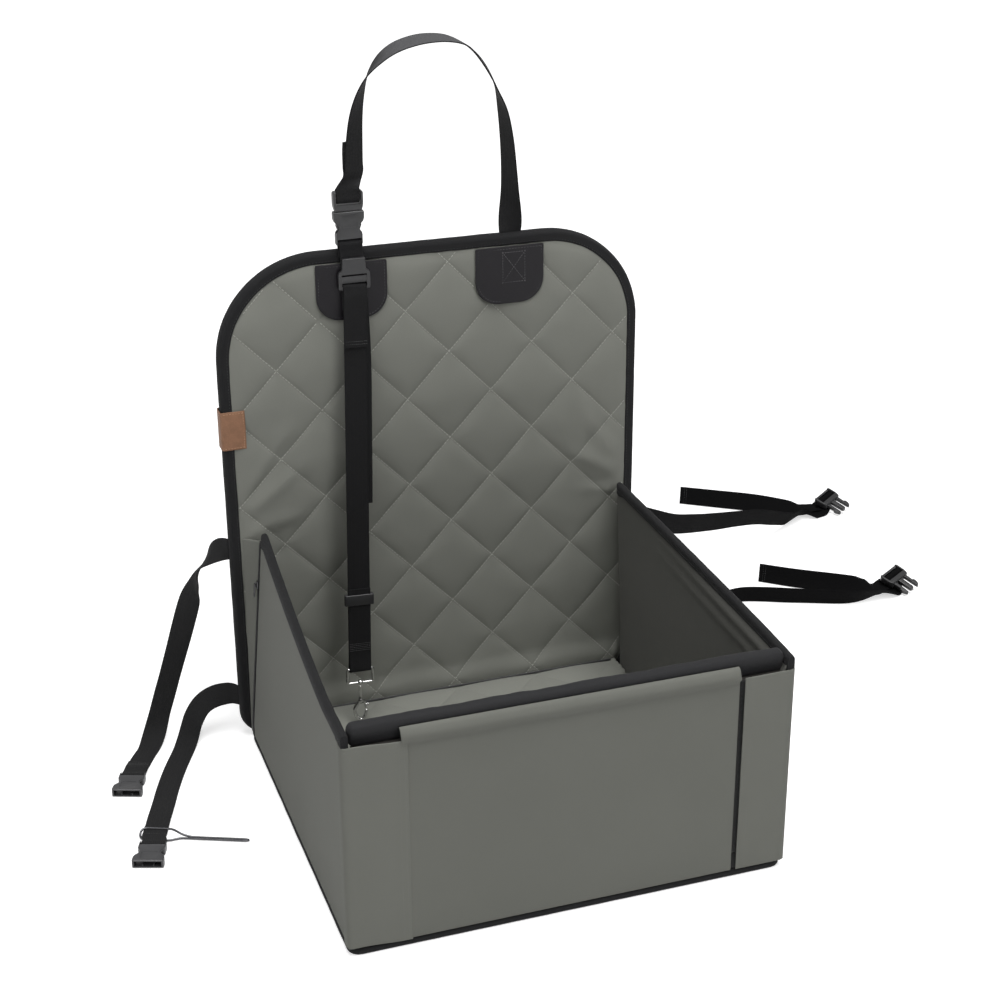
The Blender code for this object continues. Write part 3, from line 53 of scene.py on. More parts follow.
# Camera, fitted to the photograph. The focal length is in picture widths.
FOCAL_SHARE = 1.9223744
SENSOR_WIDTH = 36
PITCH, YAW, ROLL = 23.830059, 18.916326, -0.301043
CAMERA_PLACE = (-0.568336, -1.660779, 1.122969)

# The seat's measures in metres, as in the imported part
HALF_WIDTH = 0.225
FRONT_Y = -0.217
REAR_Y = 0.2274
BASE_REAR_Y = 0.2109
MAT_TOP = 0.0255
WALL_FRONT_Y, WALL_REAR_Y = -0.2153, 0.1955
WALL_THICKNESS = 0.0073
WALL_FOOT = 0.0081
WALL_FRONT_TOP, WALL_REAR_TOP = 0.240, 0.2555
WALL_TAPE = 0.010
TOP_LEAN = {-1: 0.0212, 1: 0.0095}
LEAN_START, LEAN_POWER = 0.15, 1.2
BACK_HALF = 0.2355
BACK_HEIGHT = 0.555
HEAD_RADIUS, FOOT_RADIUS = 0.110, 0.030
BACK_TAPE = 0.012
TAPE_FRONT_Y = 0.2112
QUILT_FACE, QUILT_REAR = 0.2125, 0.2210
QUILT_FRONT_LIMIT, QUILT_UNDER_PATCH = 0.2058, 0.2095
UNDER_PATCHES, PATCHES_FOOT = ((-0.1295, -0.0505), (0.045, 0.124)), 0.479
DIAMOND_WIDTH, DIAMOND_HEIGHT = 0.095, 0.100
LATTICE_X, LATTICE_Z = 0.016, 0.5315
WEBBING_WIDTH, WEBBING_THICKNESS = 0.025, 0.0016

SIDES = ((-1, "left"), (1, "right"))


# Numbers and paths

def smoothstep(value, start=0.0, end=1.0):
    share = np.clip((np.asarray(value, float) - start) / (end - start), 0, 1)
    return share * share * (3 - 2 * share)


def bump_of(value, width):
    return np.exp(-(np.asarray(value, float) / width) ** 2)


def ripple(points, scale, seed):
    """Smooth noise from -1 to 1 at each point."""
    shift = Vector((seed * 7.3, seed * 3.1, seed * 5.7))
    flat = np.asarray(points, float).reshape(-1, 3)
    found = [noise.noise(Vector(point) / scale + shift) for point in flat]
    return np.array(found).reshape(np.asarray(points).shape[:-1])


def unit(vectors):
    return vectors / np.maximum(np.linalg.norm(vectors, axis=-1, keepdims=True), 1e-12)


def travelled(path):
    """The length gone along a path at each of its points."""
    return np.concatenate([[0], np.cumsum(np.linalg.norm(np.diff(path, axis=0), axis=1))])


def between(rows, gone, wanted):
    """Rows at the wanted lengths, between the given ones."""
    return np.array([np.interp(wanted, gone, column) for column in rows.T]).T


def on_plane(u, v):
    """Sheet places as points, to take noise at."""
    return np.stack([u, v, u * 0], -1)


def edge_depth(u, v, width, height):
    """How far a place lies inside a rectangle."""
    return np.minimum(np.minimum(u, width - u), np.minimum(v, height - v))


def inward(outline):
    """Directions into a closed outline that runs counterclockwise."""
    along = unit(np.roll(outline, -1, 0) - np.roll(outline, 1, 0))
    return np.stack([-along[:, 1], along[:, 0]], -1)


def wall_share(y):
    """0 at a side wall's front, 1 at its rear."""
    return (np.asarray(y, float) - WALL_FRONT_Y) / (WALL_REAR_Y - WALL_FRONT_Y)


def lean(side, y, z):
    """How far a side wall leans inward."""
    share = np.clip((wall_share(y) - LEAN_START) / (1 - LEAN_START), 0, None) ** LEAN_POWER
    rise = np.clip((np.asarray(z, float) - MAT_TOP) / (WALL_REAR_TOP - MAT_TOP), 0, None)
    return TOP_LEAN[side] * share * rise


def wall_top(y):
    return WALL_FRONT_TOP + (WALL_REAR_TOP - WALL_FRONT_TOP) * wall_share(y)


def wall_x(side, depth, y, z):
    return side * (HALF_WIDTH - depth - lean(side, y, z))


def rounded(low, high, radii, steps=8):
    """A rectangle's outline with rounded corners, counterclockwise from its low corner."""
    corners = ((low[0], low[1], 1, 1), (high[0], low[1], -1, 1), (high[0], high[1], -1, -1),
               (low[0], high[1], 1, -1))
    outline = []
    for quarter, ((x, y, side, up), radius) in enumerate(zip(corners, radii)):
        for step in range(steps + 1):
            angle = math.pi + (quarter + step / steps) * math.pi / 2
            outline.append((x + radius * (side + math.cos(angle)), y + radius * (up + math.sin(angle))))
    return outline


def resampled(path, step, closed=False):
    """Points at even steps of about that length along a path."""
    path = np.asarray(path, float)
    if closed:
        path = np.vstack([path, path[:1]])
    gone = travelled(path)
    wanted = np.linspace(0, gone[-1], max(2, int(round(gone[-1] / step))) + 1)
    return between(path, gone, wanted[:-1] if closed else wanted)


def smooth_rows(rows, count):
    """A Catmull-Rom curve through rows that begin with x, y and z, as evenly spaced rows."""
    rows = np.array(rows, dtype=float)
    padded = np.vstack([2 * rows[0] - rows[1], rows, 2 * rows[-1] - rows[-2]])
    fine = []
    for index in range(1, len(padded) - 2):
        before, start, end, after = padded[index - 1:index + 3]
        for step in np.linspace(0, 1, 16, endpoint=False):
            fine.append((2 * start + (end - before) * step
                         + (2 * before - 5 * start + 4 * end - after) * step ** 2
                         + (3 * start - 3 * end + after - before) * step ** 3) / 2)
    fine = np.array(fine + [rows[-1]])
    gone = travelled(fine[:, :3])
    return between(fine, gone, np.linspace(0, gone[-1], count))


# Materials

class Nodes:
    """Adds nodes to a tree and links them."""

    def __init__(self, tree):
        self.tree = tree

    def add(self, kind, **values):
        """A node with values for its settings, or else for its inputs, with underscores for spaces."""
        node = self.tree.nodes.new("ShaderNode" + kind)
        for name, value in values.items():
            if hasattr(node, name):
                setattr(node, name, value)
            else:
                self.put(node.inputs[name.replace("_", " ").title()], value)
        return node

    def put(self, socket, value):
        if isinstance(value, bpy.types.NodeSocket):
            self.tree.links.new(value, socket)
        else:
            socket.default_value = value

    def math(self, operation, *values):
        node = self.add("Math", operation=operation)
        for socket, value in zip(node.inputs, values):
            self.put(socket, value)
        return node.outputs[0]


class Look(Nodes):
    """A material under construction."""

    def __init__(self, name, roughness, metallic=0.0, sheen=0.0, coat=0.0, specular=0.5):
        self.material = bpy.data.materials.new(name)
        self.material.use_nodes = True
        super().__init__(self.material.node_tree)
        self.shader = self.tree.nodes["Principled BSDF"]
        constants = {"Roughness": roughness, "Metallic": metallic, "Specular IOR Level": specular}
        if sheen:
            constants.update({"Sheen Weight": sheen, "Sheen Roughness": 0.45})
        if coat:
            constants.update({"Coat Weight": coat, "Coat Roughness": 0.3})
        for socket, value in constants.items():
            self.shader.inputs[socket].default_value = value

    def fabric(self):
        """Places on the flat cloth, in metres."""
        return self.add("Attribute", attribute_name="fabric").outputs["Vector"]

    def place(self):
        return self.add("TexCoord").outputs["Object"]

    def noise(self, vector, scale, detail, roughness):
        node = self.add("TexNoise", vector=vector, scale=scale, detail=detail, roughness=roughness)
        return node.outputs["Fac"]

    def cells(self, vector, scale):
        return self.add("TexVoronoi", vector=vector, scale=scale).outputs["Distance"]

    def waves(self, value, pitch):
        """Rounded ridges, 0 to 1, that pitch metres apart."""
        return self.math("MULTIPLY_ADD", self.math("SINE", self.math("MULTIPLY", value, TAU / pitch)), 0.5, 0.5)

    def bands(self, vector, pitch, axis):
        return self.waves(self.add("SeparateXYZ", vector=vector).outputs[axis], pitch)

    def worn(self, start, gain, most):
        """A share that grows from a pointiness on, for worn edges."""
        edge = self.add("NewGeometry").outputs["Pointiness"]
        rise = self.math("MULTIPLY", self.math("SUBTRACT", edge, start), gain)
        return self.math("MINIMUM", self.math("MAXIMUM", rise, 0), most)

    def mix(self, factor, first, second, blend="MIX"):
        node = self.add("Mix", data_type="RGBA", blend_type=blend)
        self.put(node.inputs[0], factor)
        for socket, value in zip((node.inputs[6], node.inputs[7]), (first, second)):
            self.put(socket, value if isinstance(value, bpy.types.NodeSocket) else (*value, 1))
        return node.outputs[2]

    def tint(self, colour, tone):
        return self.mix(1.0, colour, tone, "MULTIPLY")

    def bump(self, *layers):
        """Layers are (height, depth in metres)."""
        normal = None
        for height, depth in layers:
            node = self.add("Bump", distance=depth)
            self.put(node.inputs["Height"], height)
            if normal:
                self.put(node.inputs["Normal"], normal)
            normal = node.outputs[0]
        self.put(self.shader.inputs["Normal"], normal)

    def finish(self, colour, roughness=None):
        self.put(self.shader.inputs["Base Color"], colour)
        if roughness is not None:
            self.put(self.shader.inputs["Roughness"], roughness)
        return self.material


def scaled(colour, factor):
    return tuple(min(1, channel * factor) for channel in colour)


def woven(name, colour, pitch, depth=0.00012, roughness=0.85, sheen=0.05, heather=0.10, patch=0.05):
    """Plain weave: threads over and under at a real pitch, heathered yarn and faint larger patches."""
    look = Look(name, roughness, sheen=sheen, specular=0.18)
    cloth = look.fabric()
    warp, weft = look.bands(cloth, pitch * 2, 0), look.bands(cloth, pitch * 2, 1)
    over = look.math("MULTIPLY", warp, weft)
    under = look.math("MULTIPLY", look.math("SUBTRACT", 1, warp), look.math("SUBTRACT", 1, weft))
    weave = look.math("ADD", over, under)
    yarn = look.noise(cloth, 1 / (pitch * 1.5), 3, 0.7)
    broad = look.noise(look.place(), 9, 3, 0.5)
    tone = look.math("MULTIPLY_ADD", yarn, heather * 2, 1 - heather)
    tone = look.math("MULTIPLY", tone, look.math("MULTIPLY_ADD", broad, patch * 2, 1 - patch))
    tone = look.math("MULTIPLY", tone, look.math("MULTIPLY_ADD", weave, 0.16, 0.93))
    look.bump((look.noise(look.place(), 70, 3, 0.6), 0.00025), (weave, depth))
    return look.finish(look.tint(colour, tone), look.math("MULTIPLY_ADD", yarn, 0.12, roughness - 0.06))


def ribbed(name, colour, pitch, depth=0.0002, roughness=0.75, sheen=0.03, specular=0.12, lit=None):
    """Webbing or binding tape: ribs across it, a herringbone along it, and where lit is given, painted light: a
    lighter colour where it lies level.
    """
    look = Look(name, roughness, sheen=sheen, specular=specular)
    # Painted light: the colour turns to the lighter one where the face lies level, standing in for the light from
    # above on its top.
    if lit:
        normal = look.add("NewGeometry").outputs["Normal"]
        upward = look.math("ABSOLUTE", look.add("SeparateXYZ", vector=normal).outputs[2])
        rise = look.add("MapRange", interpolation_type="SMOOTHSTEP", value=upward, from_min=0.50, from_max=0.95)
        colour = look.mix(rise.outputs[0], colour, lit)
    cord_pitch = 0.0021
    cloth = look.fabric()
    split = look.add("SeparateXYZ", vector=cloth)
    chevron = look.math("PINGPONG", split.outputs[0], cord_pitch)
    ribs = look.waves(look.math("ADD", split.outputs[1], look.math("MULTIPLY", chevron, 0.5)), pitch)
    yarn = look.noise(cloth, 1400, 3, 0.7)
    tone = look.math("MULTIPLY_ADD", yarn, 0.5, 0.7)
    tone = look.math("MULTIPLY", tone, look.math("MULTIPLY_ADD", ribs, 0.4, 0.8))
    look.bump((look.math("MULTIPLY_ADD", look.bands(cloth, cord_pitch, 0), 0.35, ribs), depth))
    return look.finish(look.tint(colour, tone), look.math("MULTIPLY_ADD", yarn, 0.2, roughness - 0.1))


def leather(name, colour, roughness, grain=900, coat=0.0):
    """Pebbled faux leather with soft creases and lighter worn edges."""
    look = Look(name, roughness, coat=coat, specular=0.22)
    place = look.place()
    pebbles = look.cells(place, grain)
    creases = look.noise(place, 160, 4, 0.6)
    tone = look.math("MULTIPLY_ADD", creases, 0.5, 0.75)
    tone = look.math("MULTIPLY", tone, look.math("MULTIPLY_ADD", pebbles, 0.3, 0.85))
    worn = look.math("MULTIPLY", look.worn(0.52, 6, 1), 0.4)
    shade = look.mix(worn, look.tint(colour, tone), scaled(colour, 1.9))
    look.bump((look.math("ADD", pebbles, look.math("MULTIPLY", creases, 0.6)), 0.00012))
    return look.finish(shade, look.math("MULTIPLY_ADD", creases, 0.25, roughness - 0.12))


def plastic(name, colour, roughness):
    """Moulded plastic with a fine grain and lighter edges."""
    look = Look(name, roughness)
    place = look.place()
    grain = look.noise(place, 2600, 2, 0.5)
    wide = look.noise(place, 60, 3, 0.5)
    tinted = look.tint(colour, look.math("MULTIPLY_ADD", wide, 0.4, 0.8))
    shade = look.mix(look.worn(0.53, 5, 0.6), tinted, scaled(colour, 2.6))
    look.bump((grain, 0.00005), (wide, 0.0001))
    return look.finish(shade, look.math("MULTIPLY_ADD", wide, 0.2, roughness - 0.1))


def polished(name, colour, roughness):
    """Metal with fine scratches and faint stains."""
    look = Look(name, roughness, metallic=1.0)
    place = look.place()
    stretched = look.add("Mapping", vector=place, scale=(1.0, 1.0, 0.12)).outputs[0]
    scratches = look.noise(stretched, 1800, 3, 0.6)
    stains = look.noise(place, 120, 3, 0.5)
    look.bump((scratches, 0.00001))
    shade = look.mix(stains, scaled(colour, 0.88), colour)
    return look.finish(shade, look.math("MULTIPLY_ADD", scratches, 0.2, roughness - 0.08))


def fuzzy(name, colour):
    """The loops and tufts of hook and loop tape."""
    look = Look(name, 0.95, sheen=0.5, specular=0.2)
    place = look.place()
    loops = look.cells(place, 1100)
    tufts = look.noise(place, 420, 4, 0.7)
    look.bump((loops, 0.0004), (tufts, 0.0003))
    return look.finish(look.tint(colour, look.math("MULTIPLY_ADD", tufts, 0.8, 0.6)))


def thread(name, colour):
    look = Look(name, 0.6, sheen=0.3, specular=0.4)
    plies = look.noise(look.place(), 3500, 2, 0.6)
    look.bump((plies, 0.0001))
    return look.finish(look.tint(colour, look.math("MULTIPLY_ADD", plies, 0.6, 0.7)))


GREY = (0.150, 0.153, 0.136)
LOOKS = {
    # One grey cloth in several copies, differing only as painted light: the front painted a little darker, the
    # backrest's quilt and the mat painted lighter, for how the light falls on them.
    "polyester": woven("polyester_look", scaled(GREY, 0.95), 0.0006),
    "front": woven("front_look", scaled(GREY, 0.90), 0.0006),
    "quilt": woven("quilt_look", scaled(GREY, 1.20), 0.0006),
    "mat": woven("mat_look", scaled(GREY, 1.28), 0.0006),
    # The lining is painted a darker grey than the outer cloth, as painted shade for the inside of the box.
    "lining": woven("lining_look", (0.094, 0.094, 0.086), 0.0005, roughness=0.7, sheen=0.05),
    "rear_cover": woven("rear_cover_look", (0.030, 0.030, 0.031), 0.0009, depth=0.0002),
    "base_cover": woven("base_cover_look", (0.016, 0.016, 0.017), 0.0011, depth=0.0003, roughness=0.9),
    "tape": ribbed("tape_look", (0.0150, 0.0150, 0.0158), 0.0009, roughness=0.8),
    "roll": woven("roll_look", (0.0170, 0.0170, 0.0182), 0.0007, roughness=0.75, sheen=0.04, heather=0.2),
    "webbing": ribbed("webbing_look", (0.0080, 0.0080, 0.0085), 0.0014, roughness=0.72, sheen=0.015),
    # The loop's webbing is painted a little lighter, with painted light on its level top.
    "loop_webbing": ribbed("loop_webbing_look", (0.0100, 0.0100, 0.0105), 0.0014, roughness=0.72, sheen=0.02,
                           lit=(0.070, 0.070, 0.073)),
    # The left straps' webbing is painted lighter, as painted light on straps that lie level on the floor.
    "lit_strap_webbing": ribbed("strap_webbing_look", (0.0150, 0.0150, 0.0155), 0.0014, roughness=0.75, sheen=0.02),
    # The right straps' webbing is painted darker, as painted shade.
    "shaded_webbing": ribbed("dark_webbing_look", (0.0045, 0.0045, 0.0048), 0.0014, roughness=0.85, sheen=0.0,
                           specular=0.05),
    "tab_webbing": ribbed("tab_webbing_look", (0.014, 0.014, 0.015), 0.0014),
    "hook_tape": fuzzy("hook_tape_look", (0.012, 0.012, 0.012)),
    "leather": leather("leather_look", (0.0052, 0.0043, 0.0060), 0.42, coat=0.03),
    "label_leather": leather("label_leather_look", (0.235, 0.125, 0.075), 0.62, grain=1300),
    "plastic": plastic("plastic_look", (0.0160, 0.0160, 0.0170), 0.42),
    "light_plastic": plastic("light_plastic_look", (0.034, 0.034, 0.036), 0.42),
    "wire_metal": polished("wire_metal_look", (0.085, 0.085, 0.090), 0.32),
    "steel": polished("steel_look", (0.62, 0.62, 0.61), 0.22),
    "zip_metal": polished("zip_metal_look", (0.10, 0.10, 0.105), 0.38),
    "thread": thread("thread_look", (0.020, 0.020, 0.021)),
    "patch_thread": thread("patch_thread_look", (0.060, 0.058, 0.062)),
    "grey_thread": thread("grey_thread_look", scaled(GREY, 0.85)),
    # Light grey quilting thread, its lightness partly painted highlight for the lit lips of the seams.
    "quilt_thread": thread("quilt_thread_look", scaled(GREY, 2.0)),
    "tan_thread": thread("tan_thread_look", (0.42, 0.25, 0.14)),
    "board": woven("board_look", (0.035, 0.033, 0.030), 0.002),
    "foam": woven("foam_look", (0.45, 0.45, 0.43), 0.0015),
}


# Meshes

def placed(name, data):
    """A new object in the scene."""
    made = bpy.data.objects.new(name, data)
    bpy.context.collection.objects.link(made)
    return made


def raw_mesh(name, points, faces):
    mesh = bpy.data.meshes.new(name)
    mesh.from_pydata(np.asarray(points, float).reshape(-1, 3).tolist(), [], faces)
    return mesh


def outward_mesh(name, points, faces):
    """A mesh whose faces all look outward."""
    mesh = raw_mesh(name, points, faces)
    turned = bmesh.new()
    turned.from_mesh(mesh)
    bmesh.ops.recalc_face_normals(turned, faces=turned.faces)
    turned.to_mesh(mesh)
    turned.free()
    return mesh


def set_fabric(mesh, cloth):
    """Stores each point's place on the flat cloth, for the materials."""
    cloth = np.asarray(cloth, float).reshape(len(mesh.vertices), -1)
    cloth = np.hstack([cloth, np.zeros((len(cloth), 3 - cloth.shape[1]))])
    attribute = mesh.attributes.new("fabric", "FLOAT_VECTOR", "POINT")
    attribute.data.foreach_set("vector", cloth.astype(np.float32).ravel())


def piece(name, points, faces, finish, body=None, cloth=None, replaces=(), sharp=None, slot=None):
    """A mesh in world places with its material, body and the CAD nodes that it stands for."""
    mesh = outward_mesh(name, points, faces)
    if cloth is not None:
        set_fabric(mesh, cloth)
    mesh.shade_smooth()
    if sharp:
        mesh.set_sharp_from_angle(angle=math.radians(sharp))
    mesh.materials.append(LOOKS[finish])
    made = placed(name, mesh)
    slot or replaces[0]
    if replaces:
        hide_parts(*replaces)
    if body:
        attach(made, body)
    return made


def grid_faces(rows, columns, start=0, flip=False):
    faces = []
    for i in range(rows - 1):
        for j in range(columns - 1):
            a = start + i * columns + j
            quad = (a, a + 1, a + columns + 1, a + columns)
            faces.append(quad[::-1] if flip else quad)
    return faces


def closed_sheet(near, far):
    """Points and faces of a closed sheet between two grids."""
    rows, columns = near.shape[:2]
    count = rows * columns
    faces = grid_faces(rows, columns) + grid_faces(rows, columns, count, True)
    rim = [(i, 0) for i in range(rows)] + [(rows - 1, j) for j in range(1, columns)]
    rim += [(i, columns - 1) for i in range(rows - 2, -1, -1)] + [(0, j) for j in range(columns - 2, 0, -1)]
    for (i, j), (k, m) in zip(rim, rim[1:] + rim[:1]):
        faces.append((i * columns + j, k * columns + m, count + k * columns + m, count + i * columns + j))
    return np.concatenate([near.reshape(-1, 3), far.reshape(-1, 3)]), faces


def spaced(length, step, rim):
    """Places from 0 to length, close together near both ends."""
    inner = np.linspace(rim, length - rim, max(2, int(round((length - 2 * rim) / step)) + 1))
    edge = rim * (1 - np.cos(np.linspace(0, math.pi / 2, 5)))[:-1]
    return np.concatenate([edge, inner, length - edge[::-1]])


def panel(name, surface, width, height, thickness, finish, body=None, step=0.006, rim=None, replaces=(),
          puff=None):
    """A soft sheet with rounded rims. surface(u, v) gives the middle places of u and v in metres."""
    rim = rim or thickness / 2
    u, v = np.meshgrid(spaced(width, step, rim), spaced(height, step, rim), indexing="ij")
    middle = surface(u, v)
    normal = unit(np.cross(np.gradient(middle, axis=0), np.gradient(middle, axis=1)))
    share = np.clip(edge_depth(u, v, width, height) / rim, 0, 1)
    half = thickness / 2 * np.sqrt(np.clip(1 - (1 - share) ** 2, 0.02, 1))
    swell = puff(u, v) if puff else 0
    points, faces = closed_sheet(middle + normal * (half + swell)[..., None], middle - normal * half[..., None])
    cloth = np.concatenate([np.stack([u, v], -1).reshape(-1, 2)] * 2)
    return piece(name, points, faces, finish, body, cloth, replaces)


def swept(rings, closed=False):
    """Points and faces of a skin over rings, an array of rings x points x 3."""
    rings = np.asarray(rings, float)
    rows, columns = rings.shape[:2]
    faces = []
    for i in range(rows if closed else rows - 1):
        after = (i + 1) % rows
        for j in range(columns):
            k = (j + 1) % columns
            faces.append((i * columns + j, i * columns + k, after * columns + k, after * columns + j))
    if not closed:
        faces.append(tuple(range(columns)))
        faces.append(tuple(reversed(range((rows - 1) * columns, rows * columns))))
    return rings.reshape(-1, 3), faces


def skin(name, rings, cloth, finish, body, replaces, sharp=None, closed=False):
    """A piece over rings, with each point's place on the flat cloth."""
    points, faces = swept(rings, closed)
    return piece(name, points, faces, finish, body, np.array(cloth).reshape(-1, 2), replaces, sharp)


class Heap:
    """Collects small closed shapes into one mesh."""

    def __init__(self):
        self.points, self.faces, self.count = [], [], 0

    def add(self, points, faces):
        points = np.asarray(points, float).reshape(-1, 3)
        self.points.append(points)
        self.faces += [tuple(index + self.count for index in face) for face in faces]
        self.count += len(points)

    def make(self, name, finish, body, replaces=(), sharp=None, slot=None):
        return piece(name, np.concatenate(self.points), self.faces, finish, body, None, replaces, sharp, slot)


def stitches(heap, path, normals, pitch=0.0034, length=0.0024, radius=0.00022, closed=False, sunk=0.3):
    """Thread stitches along a path, lying on the surface that has these normals."""
    path = np.asarray(path, float)
    both = resampled(np.hstack([path, np.broadcast_to(normals, path.shape)]), pitch, closed)
    places, ups = both[:, :3], unit(both[:, 3:])
    along = unit(np.roll(places, -1, 0) - np.roll(places, 1, 0)) if closed else ahead_of(places)
    side = unit(np.cross(along, ups))
    angles = np.arange(5) * TAU / 5
    for place, ahead, up, across in zip(places, along, ups, side):
        rings = []
        for share, wide, rise in ((-0.5, 0.35, -0.5), (-0.32, 1, 0.1), (0.32, 1, 0.1), (0.5, 0.35, -0.5)):
            middle = place + ahead * length * share + up * radius * (rise - sunk)
            ring = [middle + (across * math.cos(a) + up * math.sin(a)) * radius * wide for a in angles]
            rings.append(ring)
        heap.add(*swept(rings))


def hem_stitches(heap, spot, across, out):
    """A row of short stitches across a strap, from its middle and out from its face."""
    line = [spot + across * share * 0.0105 + out * 0.0009 for share in np.linspace(-1, 1, 8)]
    stitches(heap, line, out, pitch=0.0026, length=0.0018)


def ahead_of(points):
    """Directions along a path."""
    return unit(np.gradient(np.asarray(points, float), axis=0))


# One face of a strap's section, from edge to edge: half widths across and half thicknesses up
STRAP_SHARES = (-1, -0.985, -0.94, -0.8, -0.4, 0, 0.4, 0.8, 0.94, 0.985, 1)
STRAP_HEIGHTS = (0, 0.6, 0.92, 0.96, 1, 1, 1, 0.96, 0.92, 0.6, 0)


def strap(name, points, acrosses, finish, body, replaces, sway=0.0, seed=1):
    """A woven strap with rounded edges, as wide as acrosses point and slightly curled by sway."""
    points, acrosses = np.asarray(points, float), unit(np.asarray(acrosses, float))
    face = unit(np.cross(ahead_of(points), acrosses))
    gone = travelled(points)
    near = list(zip(STRAP_SHARES, STRAP_HEIGHTS))
    section = near + [(share, -height) for share, height in near[-2:0:-1]]
    wave = ripple(on_plane(gone, gone * 0), 0.05, seed) * sway
    rings = np.zeros((len(points), len(section), 3))
    cloth = np.zeros((len(points), len(section), 2))
    for column, (share, height) in enumerate(section):
        rise = height * WEBBING_THICKNESS / 2 + wave * share
        rings[:, column] = points + acrosses * share * WEBBING_WIDTH / 2 + face * rise[:, None]
        cloth[:, column] = np.stack([np.full(len(points), share * WEBBING_WIDTH / 2), gone], -1)
    return skin(name, rings, cloth, finish, body, replaces, 60)


# Camera, light and floor

def make_camera():
    pitch, yaw, roll = (math.radians(value) for value in (PITCH, YAW, ROLL))
    ahead = Vector((math.sin(yaw) * math.cos(pitch), math.cos(yaw) * math.cos(pitch), -math.sin(pitch)))
    right = Vector((math.cos(yaw), -math.sin(yaw), 0))
    up = right.cross(ahead)
    across = right * math.cos(roll) + up * math.sin(roll)
    upward = up * math.cos(roll) - right * math.sin(roll)
    data = bpy.data.cameras.new("camera")
    data.sensor_width = SENSOR_WIDTH
    data.lens = FOCAL_SHARE * SENSOR_WIDTH
    data.clip_end = 50
    camera = placed("camera", data)
    turn = Matrix((across, upward, -ahead)).transposed().to_4x4()
    camera.matrix_world = Matrix.Translation(CAMERA_PLACE) @ turn
    bpy.context.scene.camera = camera


def area_light(name, place, aim, size, power):
    data = bpy.data.lights.new(name, "AREA")
    data.size = size
    data.energy = power
    light = placed(name, data)
    light.location = place
    light.rotation_euler = (Vector(aim) - Vector(place)).to_track_quat("-Z", "Y").to_euler()


def make_light():
    """Three soft lights, and a world that looks white but lights the seat only a little."""
    world = bpy.data.worlds.new("studio")
    bpy.context.scene.world = world
    world.use_nodes = True
    nodes = Nodes(world.node_tree)
    ground = world.node_tree.nodes["Background"]
    ground.inputs[0].default_value = (1, 1, 1, 1)
    path = nodes.add("LightPath").outputs
    seen = nodes.math("MAXIMUM", path["Is Camera Ray"], path["Is Transmission Ray"])
    either = nodes.math("MAXIMUM", seen, nodes.math("MULTIPLY", path["Is Glossy Ray"], 0.6))
    nodes.put(ground.inputs[1], nodes.add("MapRange", value=either, to_min=0.12, to_max=1.0).outputs[0])
    area_light("key", (0.9, -2.2, 2.1), (0, 0, 0.25), 1.3, 25)
    area_light("fill", (-2.3, -1.1, 1.5), (0, 0, 0.2), 1.8, 15)
    area_light("top", (0.0, -0.6, 3.0), (0, 0, 0.2), 2.0, 93)


def make_floor():
    """A pale floor that keeps the seat's shadow and turns white farther out."""
    reach, below = 14, 0.0006
    mesh = raw_mesh("floor", [(-reach, -reach, 0), (reach, -reach, 0), (reach, reach, 0), (-reach, reach, 0)],
                    [(0, 1, 2, 3)])
    floor = placed("floor", mesh)
    floor.location.z = -below
    material = bpy.data.materials.new("floor_look")
    material.use_nodes = True
    nodes = Nodes(material.node_tree)
    shader = nodes.tree.nodes["Principled BSDF"]
    for socket, value in (("Base Color", (0.80, 0.80, 0.80, 1)), ("Roughness", 0.9), ("Specular IOR Level", 0.1)):
        shader.inputs[socket].default_value = value
    path = nodes.add("LightPath").outputs
    seen = nodes.math("MAXIMUM", path["Is Camera Ray"], path["Is Glossy Ray"])
    away = nodes.add("VectorMath", operation="LENGTH")
    nodes.put(away.inputs[0], nodes.add("TexCoord").outputs["Object"])
    level = nodes.add("MapRange", value=away.outputs["Value"], from_min=0.9, from_max=2.6, to_min=0.60, to_max=1.0)
    glow = nodes.add("Emission", strength=nodes.math("MULTIPLY", seen, level.outputs[0]))
    both = nodes.add("AddShader")
    nodes.put(both.inputs[0], shader.outputs[0])
    nodes.put(both.inputs[1], glow.outputs[0])
    nodes.put(nodes.tree.nodes["Material Output"].inputs["Surface"], both.outputs[0])
    mesh.materials.append(material)


# Quilting

def outline_depth(x, z):
    """How far a point lies inside the backrest's outline."""
    radius = np.where(z > BACK_HEIGHT / 2, HEAD_RADIUS, FOOT_RADIUS)
    across = np.abs(x) - (BACK_HALF - radius)
    up = np.where(z > BACK_HEIGHT / 2, z - (BACK_HEIGHT - radius), radius - z)
    corner = radius - np.hypot(across, up)
    straight = radius - np.maximum(across, up)
    return np.where((across > 0) & (up > 0), corner, straight)


def mat_depth(x, y):
    """How far a point lies inside the mat's outline."""
    low, high = (-0.2167, -0.198), (0.2167, BASE_REAR_Y)
    return np.minimum(np.minimum(x - low[0], high[0] - x), np.minimum(y - low[1], high[1] - y))


def lattice_place(first, second, start):
    """The place at these steps along the quilting's two diagonals."""
    return LATTICE_X + (first + second) * DIAMOND_WIDTH / 2, start + (first - second) * DIAMOND_HEIGHT / 2


def pillow_at(x, z, start):
    """0 at the quilting's seams, 1 in the middle of a diamond."""
    u = (x - LATTICE_X) / (DIAMOND_WIDTH / 2)
    v = (z - start) / (DIAMOND_HEIGHT / 2)
    return np.abs(np.sin(math.pi * (u + v) / 2) * np.sin(math.pi * (u - v) / 2))


def under_patches(x, z):
    """Where the leather patches lie on the backrest's quilt."""
    return np.any([(x > low) & (x < high) & (z > PATCHES_FOOT) for low, high in UNDER_PATCHES], axis=0)


